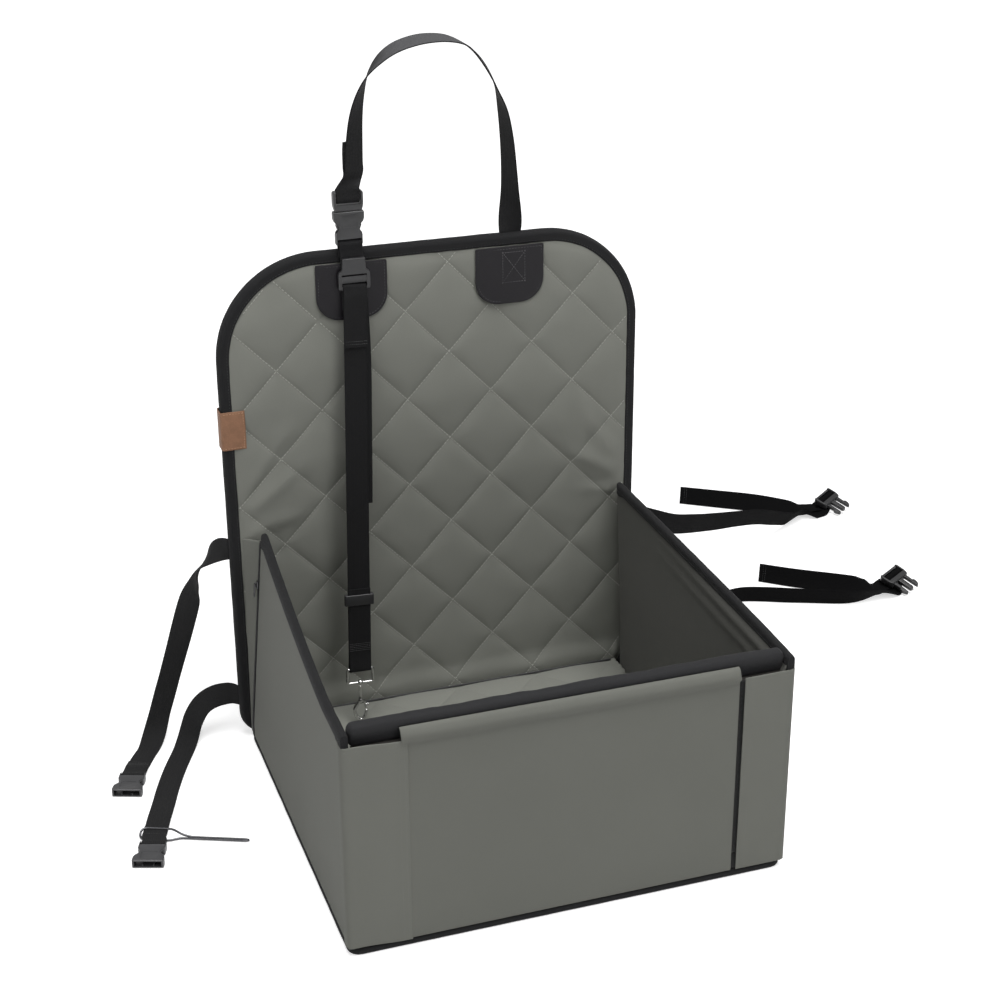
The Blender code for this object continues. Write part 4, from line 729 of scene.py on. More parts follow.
def diamond_grid(depth_of, border, start, steps, reach):
    """A grid along the quilting's diagonals, finest at the seams, cut to where depth_of is above border.

    Returns its places, its faces and which places lie on a seam.
    """
    span = range(-reach * steps, reach * steps + 1)
    along = {index: index / steps - 0.105 * math.sin(TAU * index / steps) for index in span}
    knots = [(i, j) for i in span for j in span]
    numbers = {knot: number for number, knot in enumerate(knots)}
    points = np.array([lattice_place(along[i], along[j], start) for i, j in knots])
    depth = depth_of(points[:, 0], points[:, 1]) - border
    quads = []
    for i in span[:-1]:
        for j in span[:-1]:
            quad = [numbers[i, j], numbers[i + 1, j], numbers[i + 1, j + 1], numbers[i, j + 1]]
            if depth[quad].mean() > 0:
                quads.append(quad)
    used = np.unique(quads)
    near = DIAMOND_HEIGHT / 2 / steps * 0.4
    tiny = 1e-5
    for _ in range(3):
        x, z = points[used].T
        gap = depth_of(x, z) - border
        slope = unit(np.stack([depth_of(x + tiny, z) - depth_of(x - tiny, z),
                               depth_of(x, z + tiny) - depth_of(x, z - tiny)], -1))
        points[used] -= slope * np.where(gap < near, gap, 0)[:, None]
    kept = {old: new for new, old in enumerate(used)}
    quads = [[kept[number] for number in quad] for quad in quads]
    seams = np.array([0 in (knots[number][0] % steps, knots[number][1] % steps) for number in used])
    return points[used], quads, seams


def rim_edges(quads):
    """The border of a set of quads, as ordered pairs."""
    seen = {}
    for quad in quads:
        for a, b in zip(quad, quad[1:] + quad[:1]):
            seen[a, b] = seen.get((a, b), 0) + 1
    return [(a, b) for a, b in seen if (b, a) not in seen]


def inflate(name, points, faces, pinned, pressure, limit):
    """Cloth simulation of a sewn cover. Returns places that moved limit at most from where they were."""
    last_frame = 14
    cover = placed(name, raw_mesh(name, points, faces))
    group = cover.vertex_groups.new(name="pin")
    group.add(np.flatnonzero(pinned).tolist(), 1.0, "REPLACE")
    cloth = cover.modifiers.new("cloth", "CLOTH")
    settings = cloth.settings
    settings.quality = 6
    settings.mass = 0.25
    settings.tension_stiffness = settings.compression_stiffness = 15
    settings.shear_stiffness = 7.5
    settings.bending_stiffness = 0.5
    settings.vertex_group_mass = "pin"
    settings.use_pressure = True
    settings.uniform_pressure_force = pressure
    settings.tension_damping = settings.compression_damping = settings.shear_damping = 10
    settings.air_damping = 2
    settings.effector_weights.gravity = 0
    cloth.collision_settings.use_collision = False
    cloth.point_cache.frame_start = 1
    cloth.point_cache.frame_end = last_frame
    scene = bpy.context.scene
    for number in range(1, last_frame + 1):
        scene.frame_set(number)
    result = cover.evaluated_get(bpy.context.evaluated_depsgraph_get()).to_mesh()
    places = np.zeros(len(points) * 3)
    result.vertices.foreach_get("co", places)
    bpy.data.objects.remove(cover, do_unlink=True)
    scene.frame_set(1)
    moved = places.reshape(-1, 3) - points
    size = np.linalg.norm(moved, axis=1)
    return points + moved * (limit * np.tanh(size / limit) / np.maximum(size, 1e-9))[:, None]


def refined(points, faces, cloth):
    """One Catmull-Clark step, with the fabric places carried along."""
    mesh = raw_mesh("refine", points, faces)
    set_fabric(mesh, cloth)
    holder = placed("refine", mesh)
    subdivision = holder.modifiers.new("subdivision", "SUBSURF")
    subdivision.levels = subdivision.render_levels = 1
    graph = bpy.context.evaluated_depsgraph_get()
    fine = bpy.data.meshes.new_from_object(holder.evaluated_get(graph), depsgraph=graph)
    places, values = np.zeros(len(fine.vertices) * 3), np.zeros(len(fine.vertices) * 3)
    fine.vertices.foreach_get("co", places)
    fine.attributes["fabric"].data.foreach_get("vector", values)
    quads = [list(polygon.vertices) for polygon in fine.polygons]
    bpy.data.objects.remove(holder, do_unlink=True)
    return places.reshape(-1, 3), quads, values.reshape(-1, 3)[:, :2]


def crease(x, z, start, end, width, height):
    """A soft ridge along a line, fading at both ends."""
    a, b = np.array(start), np.array(end)
    d = b - a
    length = np.hypot(*d)
    t = ((x - a[0]) * d[0] + (z - a[1]) * d[1]) / length ** 2
    away = ((x - a[0]) * d[1] - (z - a[1]) * d[0]) / length
    fade = smoothstep(t, -0.1, 0.2) * (1 - smoothstep(t, 0.6, 1.1))
    return height * bump_of(away, width) * fade


def finish_quilt(name, cover, quads, cloth, foot, axis, finish, body, replaces):
    """Closes an inflated cover with walls down to a flat foot."""
    points, quads, cloth = refined(cover, quads, cloth)
    count = len(points)
    back = points.copy()
    back[:, axis] = foot
    faces = [tuple(quad) for quad in quads] + [tuple(index + count for index in reversed(quad)) for quad in quads]
    for a, b in rim_edges(quads):
        faces.append((b, a, a + count, b + count))
    return piece(name, np.concatenate([points, back]), faces, finish, body, np.concatenate([cloth, cloth]),
                 replaces)


# Soft folds of the backrest's quilt beside the walls, each with its start, end, width and height
QUILT_FOLDS = (
    ((0.215, 0.262), (0.150, 0.300), 0.007, 0.0022), ((0.215, 0.240), (0.165, 0.250), 0.006, 0.0018),
    ((0.212, 0.285), (0.168, 0.345), 0.006, 0.0016), ((-0.215, 0.272), (-0.140, 0.330), 0.007, 0.0020),
    ((-0.212, 0.300), (-0.160, 0.375), 0.006, 0.0015), ((-0.214, 0.250), (-0.15, 0.268), 0.006, 0.0018))


def make_back_quilt():
    """The backrest's quilted cover: sewn diamonds, puffed up by a cloth simulation, and a swelling at its foot."""
    flat, quads, seams = diamond_grid(outline_depth, 0.0025, LATTICE_Z, 16, 13)
    x, z = flat.T
    depth = outline_depth(x, z)
    rise = 0.0026 * pillow_at(x, z, LATTICE_Z) ** 0.42 * smoothstep(depth, 0.011, 0.022)
    cover = np.stack([x, QUILT_FACE - 0.0002 - rise, z], -1)
    cover = inflate("back_cover", cover, quads, seams | (depth < 0.0115), -8.0, 0.0025)
    lift = sum(crease(x, z, *fold) for fold in QUILT_FOLDS)
    lift += 0.0006 * ripple(cover, 0.045, 3) + 0.0004 * ripple(cover, 0.018, 5)
    cover[:, 1] -= lift * smoothstep(depth, 0.012, 0.03)
    foot = 1 - smoothstep(z, 0.028, 0.052)
    cover[:, 1] -= 0.0052 * foot * smoothstep(depth, 0.011, 0.02)
    cover[:, 1] = np.clip(cover[:, 1], QUILT_FRONT_LIMIT, QUILT_FACE)
    under = under_patches(x, z)
    cover[under, 1] = np.clip(cover[under, 1], QUILT_UNDER_PATCH, QUILT_FACE)
    quilt = finish_quilt("quilted_back", cover, quads, flat, QUILT_REAR, 1, "quilt", "backrest", ("back_quilt",))
    sew_quilt(quilt)


def sew_quilt(quilt):
    """Light grey thread along the quilting's seams, lying on the finished cover; its lightness is partly painted
    highlight for the lit lips of the seams.
    """
    skin_tree = BVHTree.FromPolygons([vertex.co for vertex in quilt.data.vertices],
                                     [tuple(polygon.vertices) for polygon in quilt.data.polygons])
    ahead_of_quilt = 0.15
    heap = Heap()
    crosswise = np.linspace(-13, 13, 1600)
    for number in range(-13, 14):
        for first, second in ((number, crosswise), (crosswise, number)):
            x, z = lattice_place(first, second, LATTICE_Z)
            seen = (outline_depth(x, z) > 0.0140) & ~under_patches(x, z)
            for run in np.split(np.arange(len(x)), np.flatnonzero(np.diff(seen)) + 1):
                if seen[run[0]] and len(run) > 12:
                    line = [skin_tree.ray_cast(Vector((x[i], ahead_of_quilt, z[i])), Vector((0, 1, 0)))[0]
                            for i in run[::2]]
                    stitches(heap, line, (0, -1, 0), pitch=0.0042, length=0.0035, radius=0.00055, sunk=0.2)
    heap.make("quilt_thread", "quilt_thread", "backrest", slot="back_quilt")


def make_mat():
    """The base's quilted mat, and the seam along the backrest's foot."""
    flat, quads, seams = diamond_grid(mat_depth, 0.0006, 0.0, 12, 9)
    x, y = flat.T
    depth = mat_depth(x, y)
    fade = smoothstep(depth, 0.001, 0.014)
    z = MAT_TOP - 0.0032 + (0.0004 + 0.0030 * np.sqrt(pillow_at(x, y, 0.0))) * fade
    cover = np.stack([x, y, z], -1)
    cover = inflate("mat_cover", cover, quads, seams | (depth < 0.006), -5.0, 0.0015)
    cover[:, 2] += 0.0005 * ripple(cover, 0.05, 8) * fade
    cover[:, 2] = np.clip(cover[:, 2], WALL_FOOT + 0.004, MAT_TOP + 0.0008)
    mat = finish_quilt("quilted_mat", cover, quads, flat, WALL_FOOT, 2, "mat", "base", ("base_mat",))
    points, faces = wire([(x, 0.2026, MAT_TOP - 0.0012) for x in np.linspace(-0.208, 0.208, 60)], 0.0012, 8)
    piece("mat_seam", points, faces, "thread", "base", slot="base_mat")


# Box

def cloth_height(v, y):
    """The height of a place v up a wall's fabric, whose top reaches 4 mm into its tape."""
    return WALL_FOOT + v / (WALL_REAR_TOP - WALL_FOOT) * (wall_top(y) - WALL_FOOT - (WALL_TAPE + 0.0001) + 0.004)


def make_wall(side, name):
    """A padded side wall and its lining. The right lining has two folds below the tape, as in the photograph."""
    body = name + "_wall"
    length, height = WALL_REAR_Y - WALL_FRONT_Y, WALL_REAR_TOP - WALL_FOOT
    thickness = 0.0059
    lining_depth, lining_length = WALL_THICKNESS - 0.0006, length - 0.002

    def surface(u, v):
        y = WALL_FRONT_Y + u
        z = cloth_height(v, y)
        return np.stack([wall_x(side, thickness / 2, y, z), y, z], -1)

    def hollows(u, v):
        grid = on_plane(u, v)
        soft = smoothstep(edge_depth(u, v, length, 0.247), 0.0, 0.03)
        return soft * (0.0009 * ripple(grid, 0.11, 11 + side) + 0.0004 * ripple(grid, 0.04, 17 + side))

    def inside(u, v):
        y = WALL_FRONT_Y + 0.001 + u
        z = cloth_height(v, y)
        soft = smoothstep(np.minimum(np.minimum(u, length - u), v), 0.0, 0.03)
        sag = soft * (0.0007 * ripple(on_plane(u, v), 0.10, 23 + side) - 0.0007)
        if side > 0:
            under = wall_top(y) - WALL_TAPE - z
            folds = 0.0042 * bump_of(under - 0.0095, 0.0060) + 0.0034 * bump_of(under - 0.0265, 0.0060)
            sag = sag + (1 - smoothstep(u, 0.05, 0.36)) * folds
        return np.stack([wall_x(side, lining_depth + sag, y, z), y, z], -1)

    wall = panel(name + "_wall_cover", surface, length, height, thickness, "polyester", body, rim=0.0028,
                 replaces=(body + "_outer", body + "_board"), puff=hollows if side > 0 else None)
    lining = panel(name + "_wall_inside", inside, lining_length, height, 0.0011, "lining", body,
                   step=0.0035 if side > 0 else 0.007, replaces=(body + "_lining",))


def make_wall_tape(side, name):
    """Binding along a wall's top edge, deeper at both ends, with a row of stitches on each face."""
    body = name + "_wall"
    half, crown, hem = WALL_THICKNESS / 2 + 0.0005, 0.0032, 0.0011
    ys = np.linspace(WALL_FRONT_Y - 0.0012, WALL_REAR_Y + 0.0008, 90)
    rings, cloth = [], []
    for y in ys:
        top = float(wall_top(y))
        wobble = 0.00035 * noise.noise(Vector((y * 60, side, 0)))
        wobble += 0.0002 * noise.noise(Vector((y * 190, side, 4)))
        end = min(y - ys[0], ys[-1] - y)
        full = float(np.sqrt(np.clip(1 - (1 - min(1, end / 0.002)) ** 2, 0.7, 1)))
        foot = top - WALL_TAPE - 0.0065 * float(smoothstep(-y, 0.198, 0.208))
        foot -= 0.0035 * float(smoothstep(y, 0.176, 0.188))
        outer = [(half, top - crown), (half + 0.0002, foot + 0.003), (half, foot - 0.0002)]
        profile = [(-across, z) for across, z in outer[::-1]]
        for step in range(7):
            angle = math.pi - step * math.pi / 6
            profile.append((half * math.cos(angle), top - crown + crown * math.sin(angle)))
        profile += outer + [(half - hem, foot - 0.0002), (half - hem, foot + 0.001), (hem - half, foot + 0.001),
                            (hem - half, foot - 0.0002)]
        full *= 1 + wobble * 100
        rings.append([(float(wall_x(side, WALL_THICKNESS / 2 - across * full, y, z)), y, z + wobble)
                      for across, z in profile])
        cloth.append([(0.002 * (column + 1), y) for column in range(len(profile))])
    skin(name + "_wall_tape", rings, cloth, "tape", body, (body + "_binding",), 70)
    heap = Heap()
    for face in (-1, 1):
        path = []
        for y in np.linspace(WALL_FRONT_Y + 0.004, WALL_REAR_Y - 0.004, 60):
            z = float(wall_top(y)) - WALL_TAPE + 0.0022
            path.append((float(wall_x(side, WALL_THICKNESS / 2 - face * (half + 0.0002), y, z)), y, z))
        stitches(heap, path, (side * face, 0, 0))
    heap.make(name + "_wall_tape_thread", "thread", body, slot=body + "_binding")


def make_flap(side, name, width):
    """A corner flap whose fabric turns the corner from the side wall."""
    turn, thickness = 0.0035, 0.0013
    out, front = HALF_WIDTH + 0.0007, FRONT_Y - 0.0004
    foot, height = 0.0086, 0.2262 - 0.0086
    path = [(out, -0.2035), (out, front + turn)]
    for step in range(1, 9):
        angle = step / 8 * math.pi / 2
        path.append((out - turn + turn * math.cos(angle), front + turn - turn * math.sin(angle)))
    path = resampled(path + [(HALF_WIDTH - width, front + 0.0002)], 0.0015)
    gone = travelled(path)
    total = gone[-1]

    def surface(u, v):
        x, y = (np.interp(u, gone, column) for column in path.T)
        hollow = 0.0012 * np.clip(ripple(on_plane(u, v), 0.07, 31 + side) + 0.3, 0, 1)
        y = y - smoothstep(u, total - 0.04, total) * hollow
        z = foot + v + 0.004 * smoothstep(u, 0.016, 0.0) * (v / height)
        z = z + (0.0012 * np.sin(u / total * 5) if side < 0 else 0)
        return np.stack([side * x, y, z], -1)

    flap = panel(name + "_flap_fabric", surface, total, height, thickness, "polyester", step=0.004,
                 replaces=(name + "_flap",))
    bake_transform(flap)
    rows = [(np.full(60, total - away), np.linspace(0.004, height - 0.004, 60)) for away in (0.0035, 0.0085)]
    rows.append((np.linspace(0.016, total - 0.004, 40), np.full(40, height - 0.0045)))
    heap = Heap()
    for u, v in rows:
        line = surface(u, v)
        line[:, 1] -= thickness / 2
        stitches(heap, line, (0, -1, 0), sunk=0.5)
    heap.make(name + "_flap_thread", "grey_thread", name + "_corner_flap", slot=name + "_flap")


# The front cover's rolled lip: how far it stands out at heights from the panel's top edge
LIP_HEIGHTS = (-0.0145, -0.0132, -0.0122, -0.0110, -0.0095, -0.0075, -0.0055, -0.0040)
LIP_BULGES = (0.0, -0.0006, 0.0008, 0.0030, 0.0042, 0.0041, 0.0028, 0.0012)


def make_front():
    """Front cover with its rolled lip."""
    left, right = -0.1695, 0.1675
    foot, top = 0.0084, 0.2360
    over_edge, lip_radius = 0.016, 0.0045
    width, height = right - left, top - foot + 0.012

    def surface(u, v):
        over = np.clip((v - (top - foot - 0.004)) / over_edge, 0, 1) * math.pi / 2
        z = foot + np.minimum(v, top - foot - 0.004) + lip_radius * np.sin(over)
        bulge = np.interp(v - (top - foot), LIP_HEIGHTS, LIP_BULGES)
        y = FRONT_Y + 0.0006 - bulge + lip_radius * (1 - np.cos(over))
        grid = on_plane(u, v)
        soft = smoothstep(edge_depth(u, v, width, height), 0.0, 0.04)
        y = y - soft * (0.0009 * ripple(grid, 0.13, 41) + 0.0003 * ripple(grid, 0.045, 43) + 0.0006)
        return np.stack([left + u, y, z], -1)

    cover = panel("front_fabric", surface, width, height, 0.0021, "front", step=0.005, replaces=("front_cover",))
    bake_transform(cover)


def make_roll():
    """Padded wrap of the panel's top edge, gently lumpy."""
    reach, end_length = 0.2172, 0.006
    middle_y, middle_z = -0.20535, 0.2336
    half_depth, half_height, squareness = 0.0074, 0.0114, 0.62
    columns = 28
    ends = end_length * (1 - np.cos(np.linspace(0, math.pi / 2, 7)))[:-1]
    middle = np.linspace(end_length - reach, reach - end_length, 110)
    xs = np.concatenate([ends - reach, middle, reach - ends[::-1]])
    rings, cloth = [], []
    for x in xs:
        end = min(x + reach, reach - x)
        full = math.sqrt(max(0.03, 1 - (1 - min(1, end / end_length)) ** 2))
        lump = 0.0006 * noise.noise(Vector((x * 22, 0, 0))) + 0.00035 * noise.noise(Vector((x * 70, 3, 0)))
        ring = []
        for step in range(columns):
            c, s = math.cos(TAU * step / columns), math.sin(TAU * step / columns)
            y = math.copysign(abs(c) ** squareness, c) * (half_depth + lump * 0.6)
            z = math.copysign(abs(s) ** squareness, s) * (half_height + lump)
            if y < 0:
                y *= 1 - 0.42 * float(smoothstep(-z, -0.0035, 0.0035))
            ring.append((x, middle_y + y * full, middle_z + z * full + lump))
        rings.append(ring)
        cloth.append([(x, step * 0.0016) for step in range(columns)])
    roll = skin("front_roll_fabric", rings, cloth, "roll", "front_panel", ("front_roll",))


def make_base():
    """Bound edge of the base with its stitches."""
    outline = rounded((-HALF_WIDTH, FRONT_Y), (HALF_WIDTH, BASE_REAR_Y), (0.012,) * 4)
    path = resampled(outline, 0.005, True)
    inner = inward(path)
    gone = travelled(path)
    section = []
    for step in range(9):
        angle = -math.pi / 2 - step * math.pi / 8
        section.append((0.0026 + 0.0026 * math.cos(angle), 0.0039 + 0.0039 * math.sin(angle)))
    section += [(0.0058, 0.0078), (0.0058, 0.0)]
    rings, cloth = [], []
    for place, normal, run in zip(path, inner, gone):
        wobble = 0.0003 * noise.noise(Vector((place[0] * 55, place[1] * 55, 0)))
        rings.append([(*(place + normal * (depth + wobble * (depth < 0.004))), z) for depth, z in section])
        cloth.append([(column * 0.0014, run) for column in range(len(section))])
    skin("base_tape", rings, cloth, "tape", "base", ("base_binding",), 70, True)
    heap = Heap()
    ones = np.ones((len(path), 1))
    stitches(heap, np.hstack([path + inner * 0.0009, ones * 0.0063]), np.hstack([-inner, ones * 0.8]), closed=True)
    heap.make("base_tape_thread", "thread", "base", slot="base_binding")


# Backrest

def backrest_path(amount, step):
    low = (-BACK_HALF + amount, amount)
    high = (BACK_HALF - amount, BACK_HEIGHT - amount)
    foot, head = FOOT_RADIUS - amount, HEAD_RADIUS - amount
    return resampled(rounded(low, high, (foot, foot, head, head), 24), step, True)


def make_back_tape():
    """Binding round the backrest, folded over its edge, with stitches on both faces."""
    outer = backrest_path(0.0, 0.004)
    inner = inward(outer)
    gone = travelled(outer)
    front, rear = TAPE_FRONT_Y, REAR_Y
    middle, half = (front + rear) / 2, (rear - front) / 2
    section = [(BACK_TAPE, front + 0.0011), (BACK_TAPE, front + 0.0003), (BACK_TAPE - 0.0006, front),
               (0.0090, front - 0.0002), (0.0060, front)]
    for step in range(13):
        angle = -math.pi / 2 - step * math.pi / 12
        section.append((0.0042 + 0.0042 * math.cos(angle), middle + half * math.sin(angle)))
    section += [(0.0060, rear), (0.0090, rear + 0.0002), (BACK_TAPE - 0.0006, rear), (BACK_TAPE, rear - 0.0003),
                (BACK_TAPE, rear - 0.0011)]
    rings, cloth = [], []
    for place, normal, run in zip(outer, inner, gone):
        point = Vector((place[0], 0, place[1]))
        wobble = 0.0004 * noise.noise(point * 45) + 0.0002 * noise.noise(point * 140)
        ring = []
        for depth, y in section:
            x, z = place + normal * (depth + wobble * (1 if depth > 0.008 else 0.5))
            ring.append((x, y, z))
        rings.append(ring)
        cloth.append([(column * 0.0015, run) for column in range(len(section))])
    skin("back_tape", rings, cloth, "tape", "backrest", ("back_binding",), 70, True)
    heap = Heap()
    x, z = (outer + inner * 0.0098).T
    for y, way in ((front - 0.0001, -1), (rear + 0.0001, 1)):
        stitches(heap, np.stack([x, np.full(len(x), y), z], -1), (0, way, 0), closed=True)
    heap.make("back_tape_thread", "thread", "backrest", slot="back_binding")


def make_rear_cover():
    """Plain fabric over the backrest's rear, drawn slightly slack over its board."""
    edge = backrest_path(0.0035, 0.012)
    centre = np.array([0.0, BACK_HEIGHT / 2])
    near, far = [], []
    for share in (0.12, 0.28, 0.45, 0.62, 0.78, 0.9, 1.0):
        x, z = (centre + (edge - centre) * share).T
        slack = 0.0006 + 0.0008 * ripple(np.stack([x, x * 0, z], -1), 0.12, 61)
        sag = smoothstep(outline_depth(x, z), 0.012, 0.06) * slack
        near.append(np.stack([x, np.full(len(x), 0.2249), z], -1))
        far.append(np.stack([x, 0.2262 + sag, z], -1))
    rings = np.array(near + far[::-1])
    cover = skin("rear_fabric", rings, rings[..., [0, 2]], "rear_cover", "backrest", ("back_rear_cover",), 60)


# Hard parts

def solid(outline, low, high):
    """A straight solid over an outline, between two heights."""
    return swept([[(x, y, z) for x, y in outline] for z in (low, high)])


def block(low, high):
    (a, b, c), (d, e, f) = low, high
    return solid(((a, b), (d, b), (d, e), (a, e)), c, f)


def shrunk(outline, amount):
    outline = np.asarray(outline, float)
    return outline + inward(outline) * amount


def pillowed(outline, low, high, rim):
    """A plate with rounded edges above and below."""
    bends = np.linspace(0, math.pi / 2, 4)
    levels = [(rim * (1 - math.sin(bend)), low + rim * (1 - math.cos(bend))) for bend in bends]
    levels += [(inset, low + high - height) for inset, height in reversed(levels)]
    return swept([[(x, y, height) for x, y in shrunk(outline, inset)] for inset, height in levels])


def mirrored(shares, half, length):
    """An outline from its right half, given as shares of its half width and length."""
    right = [(x * half, y * length) for x, y in shares]
    return right + [(-x, y) for x, y in reversed(right)]


def holder_of(points, faces):
    return placed("holder", outward_mesh("holder", points, faces))


def carved(base, cuts=(), joins=(), bevel=0.0003, place=None):
    """A shape with others joined and cut out, and its edges rounded. Returns points and faces."""
    main = holder_of(*base)
    tools = []
    for operation, shapes in (("UNION", joins), ("DIFFERENCE", cuts)):
        for shape in shapes:
            tools.append(holder_of(*shape))
            change = main.modifiers.new("change", "BOOLEAN")
            change.object = tools[-1]
            change.operation = operation
            change.solver = "EXACT"
    rounding = main.modifiers.new("rounding", "BEVEL")
    rounding.width = bevel
    rounding.segments = 2
    rounding.limit_method = "ANGLE"
    rounding.angle_limit = math.radians(50)
    graph = bpy.context.evaluated_depsgraph_get()
    fine = bpy.data.meshes.new_from_object(main.evaluated_get(graph), depsgraph=graph)
    points = np.array([vertex.co for vertex in fine.vertices])
    faces = [tuple(polygon.vertices) for polygon in fine.polygons]
    for holder in [main] + tools:
        bpy.data.objects.remove(holder, do_unlink=True)
    return (at(points, place) if place else points), faces


def at(points, place):
    """Points moved from a part's own frame to its place."""
    matrix = np.array(place)
    return np.asarray(points, float) @ matrix[:3, :3].T + matrix[:3, 3]


def wire(points, radius, sides=14, closed=False):
    """A round wire along points. The radius is a number or a function of the share of its length."""
    points = np.asarray(points, float)
    count = len(points)
    sizes = [radius(index / (count - 1)) if callable(radius) else radius for index in range(count)]
    before, after = np.roll(points, 1, 0), np.roll(points, -1, 0)
    if not closed:
        before[0], after[-1] = points[0], points[-1]
    alongs = unit(after - before)
    normal = unit(np.cross(alongs[0], (0.31, 0.62, 0.72)))
    turns = np.arange(sides) * TAU / sides
    rings = []
    for point, along, size in zip(points, alongs, sizes):
        normal = unit(normal - along * (normal @ along))
        side = np.cross(along, normal)
        rings.append(point + (np.outer(np.cos(turns), normal) + np.outer(np.sin(turns), side)) * size)
    return swept(rings, closed)


def spun(profile, sides, place):
    """A turned shape from (radius, height) rows."""
    turns = np.arange(sides) * TAU / sides
    rings = [[(radius * math.cos(turn), radius * math.sin(turn), height) for turn in turns]
             for radius, height in profile]
    points, faces = swept(rings)
    return at(points, place), faces


def disc(name, outline, place, thickness, finish, body, replaces, lift, rim):
    """A sheet inside an outline, rounded at its rim. place(x, y, w) turns it into world places."""
    outline = np.asarray(outline, float)
    centre = outline.mean(0)
    rings, cloth = [], []
    for share in (0.03, 0.15, 0.3, 0.45, 0.6, 0.75, 0.87, 0.95):
        ring = centre + (shrunk(outline, rim) - centre) * share
        x, y = ring.T
        rings.append(place(x, y, thickness + lift(x, y)))
        cloth.append(ring)
    for bend in np.linspace(math.pi / 2, -math.pi / 2, 7):
        ring = shrunk(outline, rim * (1 - math.cos(bend)))
        height = thickness - rim + rim * math.sin(bend) if bend > 0 else rim + rim * math.sin(bend)
        rings.append(place(*ring.T, height))
        cloth.append(ring)
    rings = [np.stack(np.broadcast_arrays(*ring), -1) for ring in rings]
    return skin(name, rings, cloth, finish, body, replaces, 60)


def straight_panel(name, corner, size, thickness, finish, body, replaces, wave=0.0, seed=1):
    """An upright sheet that faces front, from its low left corner."""
    width, height = size

    def surface(u, v):
        rise = wave * ripple(on_plane(u, v), 0.05, seed) * smoothstep(edge_depth(u, v, width, height), 0, 0.01)
        return np.stack([corner[0] + u, corner[1] - rise, corner[2] + v], -1)

    made = panel(name, surface, width, height, thickness, finish, body, 0.008, None, replaces)


# Side release buckles: x across, y from the strap to the mouth, z up from the lower face

BUCKLE_WIDTH, BUCKLE_THICKNESS = 0.0325, 0.0095
FEMALE_LENGTH, FRAME_LENGTH, PRONG_LENGTH = 0.036, 0.021, 0.022
FEMALE_SHARES = (
    (0.76, 0.00), (0.83, 0.02), (0.86, 0.07), (0.86, 0.31), (0.82, 0.38), (0.72, 0.44), (0.66, 0.50),
    (0.68, 0.57), (0.80, 0.64), (0.93, 0.70), (0.99, 0.78), (1.00, 0.84), (1.00, 0.95), (0.97, 0.99),
    (0.92, 1.00))
FRAME_SHARES = (
    (0.80, 0.00), (0.90, 0.03), (0.96, 0.10), (0.97, 0.20), (0.97, 0.62), (0.94, 0.80), (0.87, 0.97),
    (0.83, 1.00))


def female_shape():
    half = BUCKLE_WIDTH / 2
    base = pillowed(mirrored(FEMALE_SHARES, half, FEMALE_LENGTH), 0, BUCKLE_THICKNESS, 0.0011)
    window = half * 0.79
    cuts = [block((-half * 0.86, 0.0132, 0.0016), (half * 0.86, 0.040, 0.0079)),
            block((-window, 0.0031, -0.002), (window, 0.0072, 0.012)),
            block((-window, -0.002, -0.002), (window, 0.0031, 0.0031)),
            block((-window, -0.002, 0.0064), (window, 0.0031, 0.012)),
            solid(rounded((-0.0085, 0.0195), (0.0085, 0.0325), (0.003,) * 4, 5), 0.0092, 0.012)]
    heap = Heap()
    heap.add(*carved(base, cuts))
    for x in (-0.0056, 0.0056):
        heap.add(*carved(block((x - 0.0007, 0.015, 0.0010), (x + 0.0007, 0.0345, 0.0033)), bevel=0.0002))
    return np.concatenate(heap.points), heap.faces


def male_shape():
    half = BUCKLE_WIDTH / 2
    base = pillowed(mirrored(FRAME_SHARES, half, FRAME_LENGTH), 0, BUCKLE_THICKNESS, 0.0011)
    root, tip = FRAME_LENGTH - 0.003, FRAME_LENGTH + PRONG_LENGTH
    arm = [(0.0078, root), (0.0118, root), (0.0113, tip - 0.0115), (0.0131, tip - 0.0098), (0.0133, tip - 0.0065),
           (0.0116, tip - 0.0016), (0.0098, tip), (0.0086, tip - 0.0008), (0.0082, tip - 0.004)]
    tongue = [(-0.0031, root), (0.0031, root), (0.0029, tip - 0.0035), (0.0019, tip - 0.0012),
              (-0.0019, tip - 0.0012), (-0.0029, tip - 0.0035)]
    joins = [solid(outline, 0.0023, 0.0072) for outline in (arm, [(-x, y) for x, y in reversed(arm)], tongue)]
    window = half * 0.815
    cuts = [block((-window, 0.0030, -0.002), (window, 0.0072, 0.012)),
            block((-window, 0.0102, -0.002), (window, 0.0144, 0.012)),
            block((-window, -0.002, -0.002), (window, 0.0144, 0.0028)),
            block((-window, -0.002, 0.0067), (window, 0.0144, 0.012))]
    return carved(base, cuts, joins, 0.00028)


def upright(x, y, z, facing_up):
    """The place of a buckle that hangs on the backrest's front."""
    along = Vector((0, 0, 1 if facing_up else -1))
    across = Vector((1 if facing_up else -1, 0, 0))
    return Matrix.Translation((x, y, z)) @ Matrix((across, along, across.cross(along))).transposed().to_4x4()


def lying(place, heading, tilt=0, dip=0):
    """The place of a buckle on the floor, by its heading, its tilt to one side and the dip of its mouth."""
    turn = Matrix.Rotation(math.radians(heading - 90), 4, "Z") @ Matrix.Rotation(-math.radians(dip), 4, "X")
    return Matrix.Translation(place) @ turn @ Matrix.Rotation(math.radians(tilt), 4, "Y")


def set_buckle(name, shape, place, body, finish="plastic"):
    points, faces = shape
    piece(name + "_moulded", at(points, place), faces, finish, body, replaces=(name,), sharp=32)


# Headrest loop

LOOP_CENTRE, LOOP_DEPTH, LOOP_BUCKLE_FOOT = -0.0918, 0.2060, 0.5625
LOOP_BUCKLE_TOP = LOOP_BUCKLE_FOOT + FEMALE_LENGTH + 0.0003 + FRAME_LENGTH
